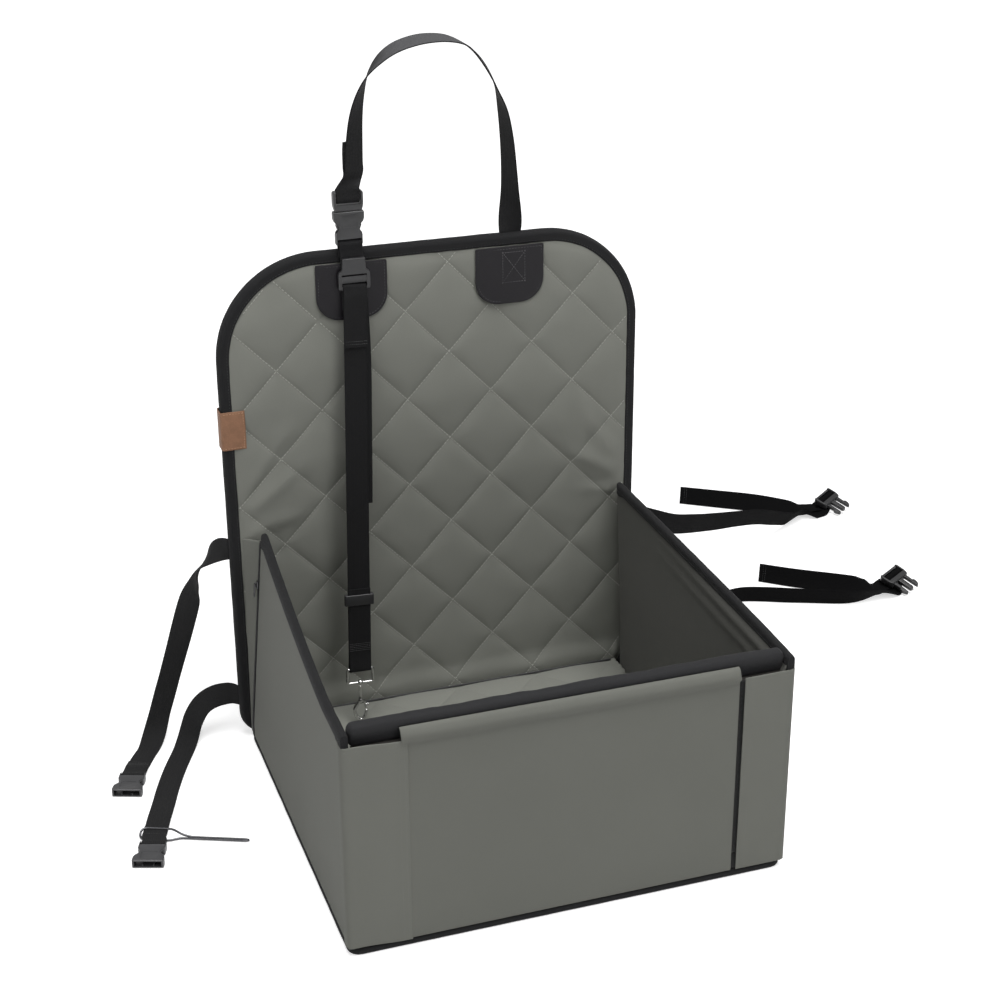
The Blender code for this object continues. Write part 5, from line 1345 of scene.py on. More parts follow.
# Shares across and up the loop, and its twist in quarter turns, fitted to the photograph
LOOP_ROUTE_SHARES = (
    (0.000, 0.000, 0.10), (0.002, 0.080, 0.30), (0.012, 0.250, 0.38), (0.028, 0.370, 0.47),
    (0.058, 0.470, 0.62), (0.103, 0.555, 0.81), (0.172, 0.624, 1.00), (0.246, 0.670, 1.09),
    (0.337, 0.700, 1.13), (0.460, 0.717, 1.13), (0.600, 0.710, 1.07), (0.715, 0.672, 1.00),
    (0.800, 0.603, 1.12), (0.862, 0.528, 1.15), (0.917, 0.433, 1.12), (0.955, 0.320, 0.93),
    (0.980, 0.177, 0.82), (0.994, 0.020, 0.75), (1.001, -0.130, 0.62), (1.001, -0.250, 0.30),
    (1.000, -0.330, 0.00))


def loop_line():
    """The loop's centreline and width directions, from its buckle round to the right patch."""
    left, right, rear = LOOP_CENTRE + 0.0076, 0.0888, 0.2193
    foot, height = LOOP_BUCKLE_TOP + 0.0022, 0.2010
    rows = [(left + (right - left) * across, LOOP_DEPTH + (rear - LOOP_DEPTH) * across, foot + height * up, twist)
            for across, up, twist in LOOP_ROUTE_SHARES]
    rows[-1] = (right, rear, BACK_HEIGHT + 0.0009, 0)
    rows = smooth_rows(rows, 150)
    points = rows[:, :3]
    along = ahead_of(points)
    plane = unit(np.cross((0, 1, 0), along))
    depth = unit(np.cross(along, plane))
    turn = (rows[:, 3] * math.pi / 2)[:, None]
    return points, plane * np.cos(turn) + depth * np.sin(turn)


def buckle_rows(route, place, way=1):
    """Rows of webbing inside a buckle, places and width directions, from (y, z) in its own frame."""
    across = np.array(place)[:3, 0] * way
    return [(*at((0, y, z), place), *across) for y, z in route]


def make_loop():
    """Headrest loop through its buckle, with the loose tail, and the tab that holds the buckle."""
    place = upright(LOOP_CENTRE, LOOP_DEPTH + BUCKLE_THICKNESS / 2, LOOP_BUCKLE_TOP, False)
    points, acrosses = loop_line()
    gone, along = travelled(points), ahead_of(points)
    leg = [(*points[i], *acrosses[i]) for i in range(len(points)) if gone[i] > 0.013]
    tail_length, tail_rise = 0.046, 0.0021
    tail = []
    for index in range(int(np.searchsorted(gone, tail_length)), 0, -3):
        if gone[index] >= 0.011:
            drift = acrosses[index] * -0.003 * smoothstep(gone[index], 0, tail_length)
            spot = points[index] + np.cross(along[index], acrosses[index]) * tail_rise + drift
            tail.append((*spot, *acrosses[index]))
    route = ((-0.003, 0.0078), (0.0015, 0.0080), (0.0050, 0.0080), (0.0087, 0.0082), (0.0112, 0.0076),
             (0.0127, 0.0052), (0.0120, 0.0028), (0.0090, 0.0018), (0.0040, 0.0016), (-0.0005, 0.0026))
    rows = tail + buckle_rows(route, place, -1) + leg[::3] + [leg[-1], (0.0888, 0.2193, 0.5490, *acrosses[-1])]
    rows = smooth_rows(rows, 260)
    loop = strap("loop_woven", rows[:, :3], rows[:, 3:], "loop_webbing", None, ("loop_webbing",), 0.0006, 4)
    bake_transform(loop)
    heap = Heap()
    near = np.array(tail)
    for index in (1, 2):
        spot, across = near[index, :3], near[index, 3:]
        out = unit(np.cross(across, unit(near[index - 1, :3] - near[index + 1, :3])))
        hem_stitches(heap, spot, across, out if out[1] < 0 else -out)
    heap.make("loop_thread", "thread", "loop", slot="loop_webbing")
    set_buckle("loop_buckle_male", male_shape(), place, "loop")
    place = upright(LOOP_CENTRE, LOOP_DEPTH + BUCKLE_THICKNESS / 2, LOOP_BUCKLE_FOOT, True)
    set_buckle("loop_buckle_female", female_shape(), place, "backrest")
    rows = [(-0.0890, 0.2066, 0.4920), (-0.0890, 0.2066, 0.5200), (-0.0890, 0.2066, 0.5400),
            (-0.0893, 0.2063, 0.5530), (-0.0900, 0.2050, 0.5590), (-0.0908, 0.2032, 0.5632),
            (-0.0912, 0.2031, 0.5655), (-0.0914, 0.2048, 0.5676), (-0.0914, 0.2072, 0.5676),
            (-0.0914, 0.2090, 0.5655), (-0.0912, 0.2088, 0.5610), (-0.0905, 0.2086, 0.5500)]
    path = smooth_rows(rows, 90)
    strap("tab_woven", path, np.tile((1.0, 0, 0), (len(path), 1)), "tab_webbing", "backrest", ("buckle_tab",))


# Dog tether

TETHER_TOP = (-0.0885, 0.2005, 0.515)
TETHER_LENGTH = 0.430
KEEPER_PLACE = 0.345


def tether_place():
    """The tether's frame: its top is the origin, and it hangs down z."""
    down = Vector((-0.0459, -0.0846, -1)).normalized()
    across = Vector((1, 0, 0))
    across = (across - down * across.dot(down)).normalized()
    back = across.cross(down)
    return Matrix.Translation(TETHER_TOP) @ Matrix((across, back, -down)).transposed().to_4x4()


def make_tether():
    """Tether webbing from its hem through the adjuster and round the hook's bar, its tail and its hardware."""
    place = tether_place()
    lie, turn = 0.0011, 0.0026
    bar = -TETHER_LENGTH + turn
    across = np.array(place)[:3, 0]
    front = ((-lie - 0.0002, -0.061), (-lie, -0.050), (-lie, -0.030), (-lie, -0.015), (-lie, -0.007))
    rows = [at((0, y, z), place) for y, z in front]
    for y, z in ((0.2000, 0.5125), (0.2008, 0.5155), (0.2013, 0.5180), (0.2022, 0.5200), (0.2034, 0.5204),
                 (0.2038, 0.5196), (0.2042, 0.5168), (0.2037, 0.5132), (0.2024, 0.5100), (0.2012, 0.5060)):
        rows.append((TETHER_TOP[0], y, z))
    back = [(lie, z) for z in (-0.020, -0.10, -0.20, -0.30, -0.39, -0.4085)] + [(lie * 1.4, -0.4160)]
    for step in range(9):
        angle = math.pi * step / 8
        back.append((turn * math.cos(angle), bar - turn * math.sin(angle)))
    back += [(-lie * 1.4, -0.4160)] + [(-lie, z) for z in (-0.4085, -0.39, -0.36, -0.3325)]
    path = smooth_rows(rows + [at((0, y, z), place) for y, z in back], 520)
    strap("tether_woven", path, np.tile(across, (len(path), 1)), "webbing", "tether", ("tether_webbing",), 0.0003)
    rows = [at((0.005 - 0.004 * (z > -0.05) * (z + 0.05) / 0.05, y, z), place) for y, z in
            ((0.0032, -0.0085), (0.0030, -0.02), (0.0030, -0.08), (0.0031, -0.14), (0.0030, -0.19),
             (0.0036, -0.236))]
    path = smooth_rows(rows, 160)
    strap("tether_tail_woven", path, np.tile(across, (len(path), 1)), "webbing", "tether", ("tether_tail",),
          0.0005, 9)
    heap = Heap()
    out = -np.array(place)[:3, 1]
    for height in (-0.0575, -0.0545, -0.3965, -0.3985, -0.4005, -0.4025, -0.4045):
        line = [at((x, -lie - 0.0009, height), place) for x in np.linspace(-0.0108, 0.0108, 9)]
        stitches(heap, line, out, pitch=0.0022, length=0.0017, radius=0.0003)
    heap.make("tether_thread", "thread", "tether", slot="tether_webbing")
    make_adjuster()
    make_keeper(place)
    make_hook(place, bar)


def make_adjuster():
    """Ladder adjuster between the tether and its tab."""
    shares = ((0.90, 0.00), (0.97, 0.02), (1.00, 0.07), (1.00, 0.50), (0.96, 0.56), (0.80, 0.62), (0.75, 0.67),
              (0.72, 0.97), (0.69, 1.00))
    base = pillowed(mirrored(shares, 0.017, 0.0335), 0, 0.0045, 0.0007)
    cuts = [block((-0.0133, 0.0030, -0.002), (0.0133, 0.0072, 0.007)),
            block((-0.0133, 0.0144, -0.002), (0.0133, 0.0163, 0.007)),
            block((-0.0129, -0.002, -0.002), (0.0129, 0.0030, 0.0015)),
            block((-0.0129, -0.002, 0.0033), (0.0129, 0.0030, 0.007)),
            block((-0.0129, 0.0072, 0.0040), (0.0129, 0.0144, 0.007))]
    place = upright(TETHER_TOP[0], 0.2055, TETHER_TOP[2] + 0.0003, True)
    set_buckle("tether_adjuster", carved(base, cuts), place, "backrest")


def make_keeper(place):
    """Sliding keeper round both layers of the tether."""
    low = -KEEPER_PLACE - 0.00625
    outline = rounded((-0.01625, -0.0031), (0.01625, 0.0031), (0.0013,) * 4, 5)
    base = pillowed(outline, low, low + 0.0125, 0.0009)
    hole = block((-0.0131, -0.0022, low - 0.004), (0.0131, 0.0022, low + 0.017))
    points, faces = carved(base, (hole,), place=place)
    piece("tether_keeper_moulded", points, faces, "plastic", "keeper", replaces=("tether_glide",), sharp=32)


def make_hook(place, bar):
    """Swivel eye, snap hook and sprung gate, in polished metal."""
    foot = bar - 0.0165
    outline = rounded((-0.0145, foot), (0.0145, bar), (0.0021,) * 4, 8)
    ring = resampled([(x, 0, z) for x, z in outline], 0.0009, True)
    heap = Heap()
    points, faces = wire(ring, 0.00155, 14, True)
    heap.add(at(points, place), faces)
    top, low = foot + 0.00325, foot - 0.00325
    angles = np.linspace(-math.pi / 2, math.pi / 2, 13)[1:-1]
    middle = (top + low) / 2
    profile = [(0.0034 * math.cos(angle), middle + 0.0034 * math.sin(angle)) for angle in angles]
    heap.add(*spun(profile, 24, place))
    heap.make("hook_eye_polished", "steel", "tether", ("hook_eye",), 50)
    start = low - 0.0003
    end = start - 0.020
    profile = [(0.0016, start), (0.0019, start - 0.0004), (0.0017, start - 0.0012), (0.0016, start - 0.013),
               (0.0017, start - 0.0150), (0.0026, start - 0.0166), (0.0030, start - 0.0182),
               (0.0029, start - 0.0202), (0.0022, start - 0.0218), (0.0012, start - 0.0226)]
    heap = Heap()
    heap.add(*spun(profile[::-1], 24, place))
    shares = ((0.00, -0.06), (-0.25, 0.12), (-0.46, 0.42), (-0.33, 0.80), (0.00, 1.00), (0.33, 0.82), (0.46, 0.52))
    rows = [(0.0145 * x, 0, end - 0.0215 * down) for x, down in shares]
    bow = smooth_rows(rows, 60)
    points, faces = wire(bow, lambda share: 0.00215 * (1 - 0.22 * share ** 2), 16)
    heap.add(at(points, place), faces)
    tip = [(0.0009, -0.0018), (0.0016, -0.0008), (0.0018, 0.0002), (0.0013, 0.0014), (0.0006, 0.0018)]
    heap.add(*spun(tip, 16, place @ Matrix.Translation(rows[-1])))
    heap.make("hook_polished", "steel", "hook", ("hook_body",), 50)
    collar = 1.4 * 0.0017
    gate_start = np.array((collar + 0.0017, 0, end + collar))
    gate_end = np.array(rows[-1]) + (0, 0, 0.00245)
    heap = Heap()
    middle = gate_start + (gate_end - gate_start) * 0.6
    points, faces = wire([gate_start, gate_start * 0.7 + middle * 0.3, middle, gate_end],
                         lambda share: 0.00135 * (0.55 + 0.45 * min(1, share * 3)), 14)
    heap.add(at(points, place), faces)
    along = unit(gate_end - gate_start)
    outward = Vector(np.cross(along, (0, 1, 0)))
    seat = place @ Matrix.Translation(middle) @ outward.to_track_quat("Z", "Y").to_matrix().to_4x4()
    knob = [(0.0011, 0.0), (0.0012, 0.0014), (0.0017, 0.0022), (0.0019, 0.0029), (0.0017, 0.0036),
            (0.0008, 0.0040)]
    heap.add(*spun(knob, 16, seat))
    heap.make("hook_gate_polished", "steel", "gate", ("hook_gate",), 50)


# Seat straps. Their routes are rows of shares: outward and back in reaches, up in heights, and the twist

STRAP_REACH, STRAP_DEPTH, STRAP_SIDE = 0.400, 0.2195, 0.2358
UPPER_LEFT_ROUTE_SHARES = (
    (0.000, 0.000, 1.000, 0.00), (0.018, 0.018, 0.990, 0.20), (0.042, 0.036, 0.955, 0.55),
    (0.068, 0.056, 0.885, 0.95), (0.086, 0.067, 0.800, 0.60), (0.106, 0.076, 0.690, 0.20),
    (0.143, 0.081, 0.480, 0.05), (0.180, 0.077, 0.290, 0.10), (0.210, 0.066, 0.150, 0.30),
    (0.236, 0.040, 0.050, 0.70), (0.262, 0.000, 0.003, 1.00), (0.295, -0.060, 0.000, 1.00),
    (0.3089, -0.0960, 0.016, 1.00), (0.3248, -0.1360, 0.018, 1.00))
LOWER_LEFT_ROUTE_SHARES = (
    (0.000, 0.000, 1.000, 0.00), (0.022, 0.016, 1.010, 0.12), (0.062, 0.030, 0.930, 0.32),
    (0.098, 0.034, 0.760, 0.50), (0.126, 0.026, 0.480, 0.72), (0.150, 0.004, 0.100, 0.95),
    (0.176, -0.050, 0.000, 1.00), (0.216, -0.140, 0.000, 1.00), (0.252, -0.235, 0.000, 1.00),
    (0.276, -0.310, 0.050, 1.00), (0.295, -0.365, 0.065, 1.00), (0.313, -0.420, 0.065, 1.00),
    (0.3245, -0.4560, 0.072, 1.00), (0.3292, -0.4835, 0.078, 1.00))
UPPER_RIGHT_ROUTE_SHARES = (
    (0.000, 0.000, 1.000, 0.00), (0.045, 0.030, 0.965, 0.00), (0.110, 0.075, 0.885, 0.02),
    (0.215, 0.175, 0.740, 0.04), (0.322, 0.275, 0.620, 0.08), (0.483, 0.425, 0.455, 0.12),
    (0.713, 0.600, 0.265, 0.22), (0.865, 0.712, 0.110, 0.35), (0.978, 0.785, 0.010, 0.42),
    (1.040, 0.803, 0.000, 1.00), (1.078, 0.815, 0.000, 1.00), (1.120, 0.845, 0.000, 1.00))
LOWER_RIGHT_ROUTE_SHARES = (
    (0.000, 0.000, 1.000, 0.00), (0.040, 0.024, 0.960, 0.00), (0.120, 0.080, 0.760, 0.05),
    (0.230, 0.155, 0.420, 0.10), (0.350, 0.225, 0.120, 0.15), (0.440, 0.262, 0.000, 0.18),
    (0.505, 0.270, 0.000, 0.18), (0.570, 0.250, 0.000, 0.18), (0.682, 0.199, 0.000, 0.20),
    (0.830, 0.139, 0.000, 0.30), (0.935, 0.148, 0.000, 0.52), (1.000, 0.171, 0.000, 1.00),
    (1.030, 0.212, 0.000, 1.00))
UPPER_RIGHT_TAIL_SHARES = (
    (1.112, 0.853, 0.0185, 1.00), (1.082, 0.848, 0.0185, 1.00), (1.046, 0.848, 0.0185, 0.95),
    (0.975, 0.850, 0.015, 0.60), (0.872, 0.916, 0.000, 0.35), (0.767, 0.981, 0.000, 0.20),
    (0.647, 1.061, 0.000, 0.10))
LOWER_RIGHT_TAIL_SHARES = (
    (1.038, 0.238, 0.068, 1.00), (1.012, 0.228, 0.068, 1.00), (0.975, 0.207, 0.068, 1.00),
    (0.925, 0.200, 0.068, 0.60), (0.874, 0.221, 0.000, 0.35), (0.739, 0.309, 0.000, 0.15),
    (0.634, 0.394, 0.000, 0.10))


def strap_line(side, height, shares, count):
    """Centreline and width directions of a strap, upright where it starts."""
    rows = [(side * (STRAP_SIDE + STRAP_REACH * x), STRAP_DEPTH + STRAP_REACH * y, height * z, twist)
            for x, y, z, twist in shares]
    rows = smooth_rows(rows, count)
    points = rows[:, :3].copy()
    along = ahead_of(points)
    up = unit(np.array((0, 0, 1)) - along * along[:, 2:])
    turn = (np.clip(rows[:, 3], 0, 1) * math.pi / 2)[:, None]
    return points, up * np.cos(turn) + np.cross(along, up) * np.sin(turn)


def grounded(points, acrosses):
    """Lifts a strap until no edge of it is below the floor."""
    face = unit(np.cross(ahead_of(points), acrosses))
    rest = np.abs(acrosses[:, 2]) * WEBBING_WIDTH / 2 + np.abs(face[:, 2]) * WEBBING_THICKNESS / 2
    points[:, 2] = np.maximum(points[:, 2], rest)


def paired(points, acrosses):
    """Rows of a place and a width direction."""
    return [(*point, *across) for point, across in zip(points, acrosses)]


def matching(rows, other):
    """Rows with their width directions turned to the side of another row's."""
    way = np.sign(np.array(rows[0][3:]) @ np.array(other[3:]))
    return [(*row[:3], *(np.array(row[3:]) * way)) for row in rows]


def level(heading):
    """The level direction of a heading in degrees."""
    return Vector((math.cos(math.radians(heading)), math.sin(math.radians(heading)), 0))


def weave_seat_strap(name, side, rows, finish, replaces, seed):
    """A seat strap from inside the backrest's edge down to the floor."""
    line = np.vstack([rows[:1, :3] - np.array((side * 0.0012, 0, 0)), rows[:, :3]])
    woven_strap = strap(name + "_woven", line, np.vstack([rows[:1, 3:], rows[:, 3:]]), finish, None, replaces,
                        0.0007, seed)
    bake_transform(woven_strap)


def make_left_strap(name, height, shares, heading, seed):
    """A left seat strap, with its end folded back through a female buckle."""
    points, acrosses = strap_line(-1, height, shares, 120)
    acrosses[0] = (0, 0, 1)
    grounded(points, acrosses)
    place = lying(Vector((points[-1][0], points[-1][1], 0)) + level(heading) * 0.0003, heading)
    gone = travelled(points)
    rows = paired(points[gone < gone[-1] - 0.012], acrosses[gone < gone[-1] - 0.012])
    route = ((-0.0070, 0.0038), (-0.0030, 0.0030), (0.0005, 0.0021), (0.0035, 0.0022), (0.0055, 0.0045),
             (0.0040, 0.0072), (0.0005, 0.0076), (-0.0035, 0.0064), (-0.0075, 0.0058))
    inside = matching(buckle_rows(route, place), rows[-1])
    face = unit(np.cross(ahead_of(points), acrosses))
    face = face * np.where(face[:, 2:] < 0, -1, 1)
    back = [index for index in range(len(points) - 1, 0, -1) if 0.012 < gone[-1] - gone[index] < 0.036]
    hem = paired(points[back[::2]] + face[back[::2]] * 0.0018, acrosses[back[::2]])
    rows = smooth_rows(rows[::2] + inside + hem, 260)
    weave_seat_strap(name + "_left", -1, rows, "lit_strap_webbing", (name + "_left_strap",), seed)
    heap = Heap()
    for row in (hem[1], hem[-2]):
        hem_stitches(heap, np.array(row[:3]), np.array(row[3:]), np.array((0, 0, 1)))
    heap.make(name + "_left_thread", "thread", "base", slot=name + "_left_strap")
    set_buckle(name + "_left_buckle", female_shape(), place, "base", "light_plastic")


def make_right_strap(name, height, shares, tail_shares, heading, seed):
    """A right seat strap through a male buckle that leans on its prongs, with the tail folded back beside it."""
    points, acrosses = strap_line(1, height, shares, 150)
    acrosses[0] = (0, 0, 1)
    grounded(points, acrosses)
    tail, tail_acrosses = strap_line(1, height, tail_shares, 70)
    grounded(tail, tail_acrosses)
    seat = Vector((points[-1][0], points[-1][1], 0)) - level(heading) * FRAME_LENGTH / 2
    seat.z = 0.0135
    place = lying(seat, heading, 16.0, 14.0)
    route = ((0.0085, -0.0010), (0.0122, 0.0026), (0.0127, 0.0052), (0.0110, 0.0078), (0.0087, 0.0082),
             (0.0064, 0.0078), (0.0050, 0.0052), (0.0042, 0.0026), (0.0020, 0.0010))
    gone, tail_gone = travelled(points), travelled(tail)
    first = paired(points[gone < gone[-1] - 0.014], acrosses[gone < gone[-1] - 0.014])
    inside = matching(buckle_rows(route, place), first[-1])
    last = matching(paired(tail[tail_gone > 0.008], tail_acrosses[tail_gone > 0.008]), inside[-1])
    rows = smooth_rows(first[::2] + inside + last[::2] + [last[-1]], 420)
    rows[:, 3:] = unit(rows[:, 3:])
    grounded(rows[:, :3], rows[:, 3:])
    weave_seat_strap(name + "_right", 1, rows, "shaded_webbing", (name + "_right_strap", name + "_right_tail"), seed)
    heap = Heap()
    for share in (0.0035, 0.0075):
        index = int(np.searchsorted(tail_gone, tail_gone[-1] - share)) - 1
        out = unit(np.cross(ahead_of(tail)[index], tail_acrosses[index]))
        for way in (-1, 1):
            hem_stitches(heap, tail[index], tail_acrosses[index], out * way)
    heap.make(name + "_right_thread", "thread", "base", slot=name + "_right_tail")
    set_buckle(name + "_right_buckle", male_shape(), place, "base")


def make_clip():
    """A long closed ring of wire round the lower left strap."""
    radius, reach, gauge = 0.00675, 0.0568, 0.0012
    outline = rounded((-reach, -radius), (reach, radius), (radius,) * 4, 12)
    place = Matrix.Translation((-0.3252, 0.0285, 0.0)) @ Matrix.Rotation(math.radians(-23.6), 4, "Z")
    ring = []
    for x, y in resampled(outline, 0.0022, True):
        rise = smoothstep(y, -radius, radius) * (1 - smoothstep(x, radius + 0.025 - reach, radius + 0.050 - reach))
        close = 1 - 0.79 * float(smoothstep(x, 0.029 - reach, 0.046 - reach))
        ring.append(at((x, y * close, gauge + 0.0052 * float(rise)), place))
    points, faces = wire(ring, gauge, 12, True)
    piece("wire_clip_polished", points, faces, "wire_metal", "clip", replaces=("wire_clip",), sharp=60)


# Leather, zips and the hidden cloths

PANEL_HALF = 0.2135
ZIP_TOP = 0.246


def make_leather():
    """Faux leather patches with their stitching, a crossed square on the right one."""
    top = BACK_HEIGHT - BACK_TAPE - 0.0003
    width, corner = 0.077, 0.026
    heap = Heap()
    for name, centre, foot, seed in (("left_patch", -0.090, 0.4812, 71), ("right_patch", 0.0845, 0.4795, 73)):
        radii = (corner, corner, 0.0015, 0.0015)
        outline = rounded((centre - width / 2, foot), (centre + width / 2, top), radii, 10)
        outline = resampled(outline, 0.0021, True)
        patch = disc(name + "_leather", outline, lambda x, z, w: (x, 0.2092 - w, z), 0.0015, "leather", "backrest",
                     (name,), lambda x, z: 0.0003 * ripple(on_plane(x, z), 0.03, seed), 0.0006)
        x, z = shrunk(outline, 0.0028).T
        stitches(heap, np.stack([x, np.full(len(x), 0.2078), z], -1), (0, -1, 0), closed=True, sunk=0.4)
    corners = np.array([(0.0765, 0.2077, 0.503), (0.1015, 0.2077, 0.503), (0.1015, 0.2077, 0.536),
                        (0.0765, 0.2077, 0.536)])
    for a, b in ((0, 1), (1, 2), (2, 3), (3, 0), (0, 2), (1, 3)):
        path = [corners[a] + (corners[b] - corners[a]) * share for share in np.linspace(0, 1, 14)]
        stitches(heap, path, (0, -1, 0), pitch=0.0030, length=0.0022, radius=0.0003)
    heap.make("patch_thread", "patch_thread", "backrest", slot="right_patch")


def make_label():
    """A bare folded leather tab over the backrest's left edge."""
    inner_x, bend_x, bend = -0.2105, -0.2345, 0.0018
    front, rear = 0.2103, 0.2282
    turns = [math.pi / 2 * step / 8 for step in range(1, 8)]
    path = [(inner_x, front), (bend_x, front)]
    path += [(bend_x - bend * math.sin(turn), front + bend - bend * math.cos(turn)) for turn in turns]
    path.append((bend_x - bend, rear - bend))
    path += [(bend_x - bend * math.cos(turn), rear - bend + bend * math.sin(turn)) for turn in turns]
    path = resampled(path + [(bend_x, rear), (inner_x, rear)], 0.0006)
    gone = travelled(path)
    total, height, foot = gone[-1], 0.043, 0.350

    def surface(u, v):
        x, y = (np.interp(u, gone, column) for column in path.T)
        bow = 0.0005 * ripple(on_plane(u, v), 0.02, 83)
        return np.stack([x, y + bow * np.where(u < total / 2, -1, 1), foot + v], -1)

    label = panel("label_leather", surface, total, height, 0.0011, "label_leather", "backrest", 0.0016,
                  replaces=("label",))
    heap = Heap()
    for y, way in ((0.2097, -1), (0.2288, 1)):
        lines = [[(-0.2125, y, z) for z in np.linspace(foot + 0.002, foot + height - 0.002, 30)]]
        lines += [[(x, y, z) for x in np.linspace(-0.2325, -0.2135, 14)]
                  for z in (foot + 0.0022, foot + height - 0.0022)]
        for line in lines:
            stitches(heap, line, (0, way, 0), pitch=0.0030, length=0.0021)
    heap.make("label_thread", "tan_thread", "backrest", slot="label")


def zip_x(side, depth, z):
    """Where a zip is at a height, that deep inside the wall's outer face."""
    return float(wall_x(side, depth, WALL_REAR_Y, z))


def make_zip(side, name):
    """A rear corner's zip: tape, coil, gusset, slider and pull."""
    front, rear = WALL_REAR_Y + 0.0003, WALL_REAR_Y + 0.0030
    profile = ((-0.0004, front - 0.0022), (-0.0006, front - 0.0012), (-0.0006, rear - 0.0006), (-0.0002, rear),
               (0.0020, rear), (0.0024, front + 0.0010), (0.0016, front))
    rings, cloth = [], []
    for z in np.linspace(WALL_FOOT, ZIP_TOP, 40):
        rings.append([(zip_x(side, depth, z), y, z) for depth, y in profile])
        cloth.append([(column * 0.0012, z) for column in range(len(profile))])
    skin(name + "_zip_cloth", rings, cloth, "tape", name + "_wall", (name + "_zip_tape",), 60)
    heap = Heap()
    turns = np.arange(8) * TAU / 8
    for z in np.arange(WALL_FOOT + 0.003, 0.244, 0.0016):
        x = zip_x(side, -0.0006, z)
        heap.add(*swept([[(x + side * wide * 0.0007 * math.cos(turn), rear - depth,
                           z + wide * 0.00058 * math.sin(turn)) for turn in turns]
                         for depth, wide in ((0.0023, 0.5), (0.0019, 1), (0.0004, 1), (0, 0.5))]))
    heap.make(name + "_zip_coil", "plastic", name + "_wall", slot=name + "_zip_tape")
    make_gusset(side, name)
    make_slider(side, name, front - 0.0004)


def make_gusset(side, name):
    """The backrest's half of the corner, a narrow slanted strip between the zip and the backrest."""
    front_y, rear_y, top = WALL_REAR_Y + 0.0033, 0.2109, ZIP_TOP
    rear_lean = float(lean(side, WALL_REAR_Y, top)) * 0.15
    width = rear_y - front_y + 0.0003

    def surface(u, v):
        z = WALL_FOOT + v
        share = np.clip((z - MAT_TOP) / (top - MAT_TOP), 0, None)
        near = wall_x(side, 0.0009, WALL_REAR_Y, z)
        far = side * (HALF_WIDTH - 0.0009 - rear_lean * share)
        part = u / width
        bow = -0.0012 * np.sin(part * math.pi) * smoothstep(np.minimum(v, top - WALL_FOOT - v), 0, 0.03)
        return np.stack([near + (far - near) * part + side * bow, front_y + u, z], -1)

    length = top - WALL_FOOT
    gusset = panel(name + "_gusset_fabric", surface, width, length, 0.0013, "polyester", "backrest", 0.003,
                   replaces=(name + "_gusset",))


def make_slider(side, name, y):
    """The zip's slider with its arch, and its pull hanging from it."""
    top = Vector((zip_x(side, 0, ZIP_TOP), WALL_REAR_Y, ZIP_TOP))
    down = (Vector((zip_x(side, 0, MAT_TOP), WALL_REAR_Y, MAT_TOP)) - top).normalized()
    rearward = Vector((0, 1, 0))
    outward = down.cross(rearward) * side
    seat = Vector((zip_x(side, 0, 0.200), y, 0.200)) + outward * 0.0008
    turn = Matrix((rearward, down, outward)).transposed().to_4x4()
    shares = ((0.62, 0.00), (0.72, 0.02), (0.96, 0.30), (1.00, 0.45), (0.92, 0.75), (0.78, 0.97), (0.70, 1.00))
    arch = [(0, y, z) for y, z in ((0.0016, 0.0016), (0.0018, 0.0026), (0.0027, 0.0031), (0.0045, 0.0031),
                                   (0.0062, 0.0027), (0.0068, 0.0016))]
    heap = Heap()
    for points, faces in (pillowed(mirrored(shares, 0.0031, 0.009), 0, 0.0020, 0.0006),
                          wire(smooth_rows(arch, 24), 0.00055, 10)):
        heap.add(at(points, Matrix.Translation(seat) @ turn), faces)
    heap.make(name + "_slider_metal", "zip_metal", name + "_slider", (name + "_zip_slider",), 40)
    pivot = seat + outward * 0.0035 + down * 0.0027
    outline = rounded((-0.0019, 0), (0.0019, 0.016), (0.0008, 0.0008, 0.0018, 0.0018), 5)
    hole = solid(rounded((-0.0009, 0.0105), (0.0009, 0.0145), (0.0009,) * 4, 5), -0.002, 0.004)
    points, faces = carved(pillowed(outline, 0, 0.0012, 0.0004), (hole,), bevel=0.0001,
                           place=Matrix.Translation(pivot) @ turn)
    piece(name + "_pull_metal", points, faces, "zip_metal", name + "_pull", replaces=(name + "_zip_pull",),
          sharp=40)


def make_sill():
    """The fabric sill that carries the front panel, and its two hook strips."""
    section = rounded((-0.2128, WALL_FOOT), (-0.1983, 0.0267), (0.0015, 0.0015, 0.004, 0.003), 5)
    inset = 0.0008
    xs = np.linspace(0.004 - PANEL_HALF, PANEL_HALF - 0.004, 60)
    xs = np.concatenate([[-PANEL_HALF, inset - PANEL_HALF], xs, [PANEL_HALF - inset, PANEL_HALF]])
    rings, cloth = [], []
    for x in xs:
        lump = 0.0003 * noise.noise(Vector((x * 40, 1, 2)))
        ring = shrunk(section, inset if abs(x) == PANEL_HALF else 0)
        rings.append([(x, y, z + lump * (z > 0.015)) for y, z in ring])
        cloth.append([(x, column * 0.002) for column in range(len(section))])
    sill = skin("sill_fabric", rings, cloth, "polyester", "base", ("front_sill",), 50)
    heap = Heap()
    for low, high in ((-PANEL_HALF, -0.1698), (0.1663, PANEL_HALF)):
        heap.add(*carved(block((low, -0.2142, 0.0085), (high, -0.2131, 0.0267))))
    heap.make("sill_strips", "hook_tape", "base", slot="front_sill")


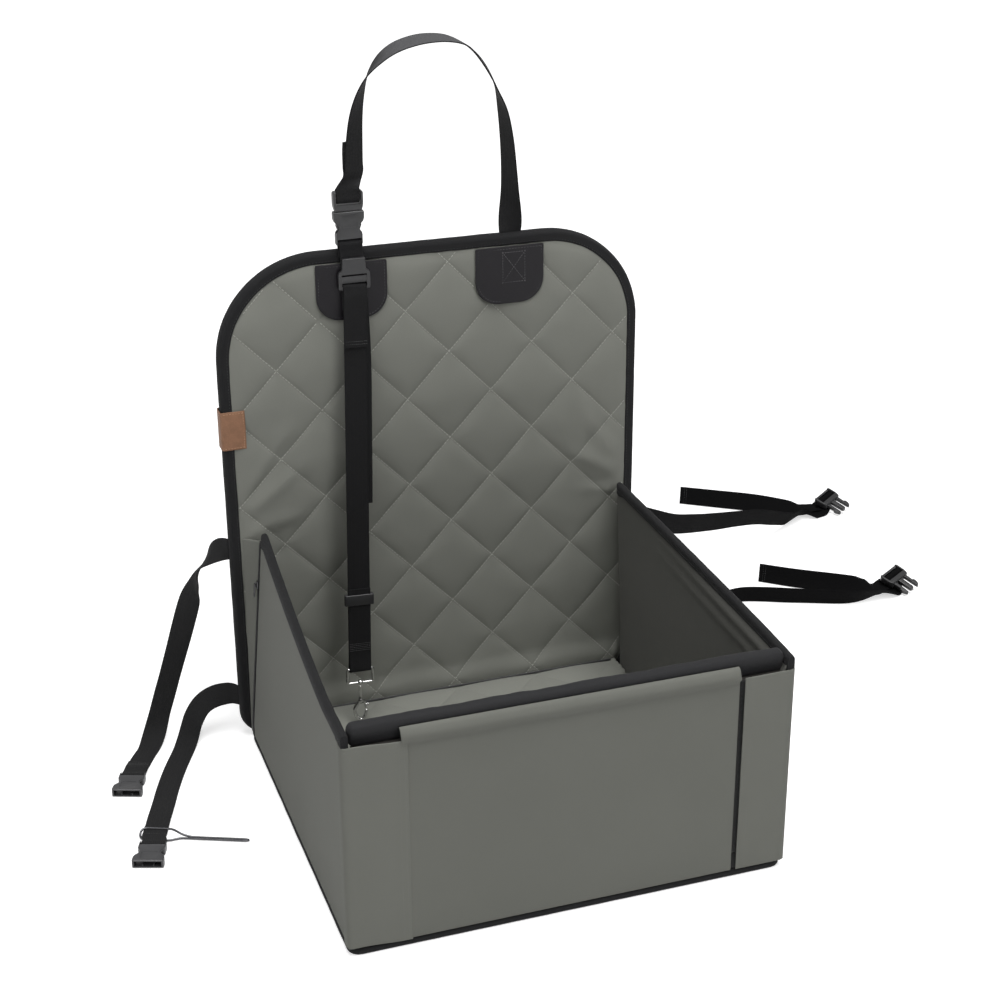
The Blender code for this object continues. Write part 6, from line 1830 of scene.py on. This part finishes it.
def make_panel_cloths():
    """The front panel's lining, and the loop and hook strips that hold the corner flaps."""
    foot, height = 0.0271, 0.1943
    straight_panel("front_inside", (-PANEL_HALF, -0.2048, foot), (2 * PANEL_HALF, 0.1944), 0.0012, "lining",
                   "front_panel", ("front_lining",), 0.0002, 91)
    for side, name, edge, hook_edge in ((-1, "left", 0.1703, 0.1706), (1, "right", 0.1663, 0.1773)):
        low = min(side * edge, side * PANEL_HALF)
        straight_panel(name + "_loop_fuzz", (low, -0.2136, foot), (PANEL_HALF - edge, height), 0.0012, "hook_tape",
                       "front_panel", (name + "_loop_strip",))
        low = min(side * hook_edge, side * (hook_edge + 0.040))
        straight_panel(name + "_hook_fuzz", (low, -0.2149, foot), (0.040, height), 0.0008, "hook_tape",
                       name + "_corner_flap", (name + "_hook_strip",))


def make_underside():
    """Coarse cloth under the base."""
    half_width, inset = 0.2187, 0.0063
    outline = rounded((-half_width, FRONT_Y + inset), (half_width, BASE_REAR_Y - inset), (0.0057,) * 4, 6)
    under = disc("underside_fabric", resampled(outline, 0.008, True), lambda x, y, w: (x, y, 0.0025 - w), 0.0025,
                 "base_cover", "base", ("base_cover",),
                 lambda x, y: -0.0003 + 0.0003 * ripple(on_plane(x, y), 0.06, 97), 0.0008)


def show_boards():
    """The boards of the CAD stay, in plain board."""
    for name in ("base_board", "front_board", "back_board"):
        for slot in bpy.data.objects[name].material_slots:
            slot.material = LOOKS["board"]


# The whole seat

make_camera()
make_light()
make_floor()
make_base()
make_mat()
for side, name in SIDES:
    make_wall(side, name)
for side, name in SIDES:
    make_wall_tape(side, name)
make_flap(-1, "left", 0.062)
make_flap(1, "right", 0.0525)
make_front()
make_roll()
make_back_quilt()
make_back_tape()
make_rear_cover()
make_loop()
make_tether()
make_left_strap("upper", 0.2320, UPPER_LEFT_ROUTE_SHARES, -110.9, 11)
make_left_strap("lower", 0.0510, LOWER_LEFT_ROUTE_SHARES, -109.5, 12)
make_right_strap("upper", 0.1980, UPPER_RIGHT_ROUTE_SHARES, UPPER_RIGHT_TAIL_SHARES, -62.0, 13)
make_right_strap("lower", 0.0500, LOWER_RIGHT_ROUTE_SHARES, LOWER_RIGHT_TAIL_SHARES, -66.4, 14)
make_clip()
make_leather()
make_label()
for side, name in SIDES:
    make_zip(side, name)
make_sill()
make_panel_cloths()
make_underside()
show_boards()

bpy.context.scene.view_settings.view_transform = "Standard"
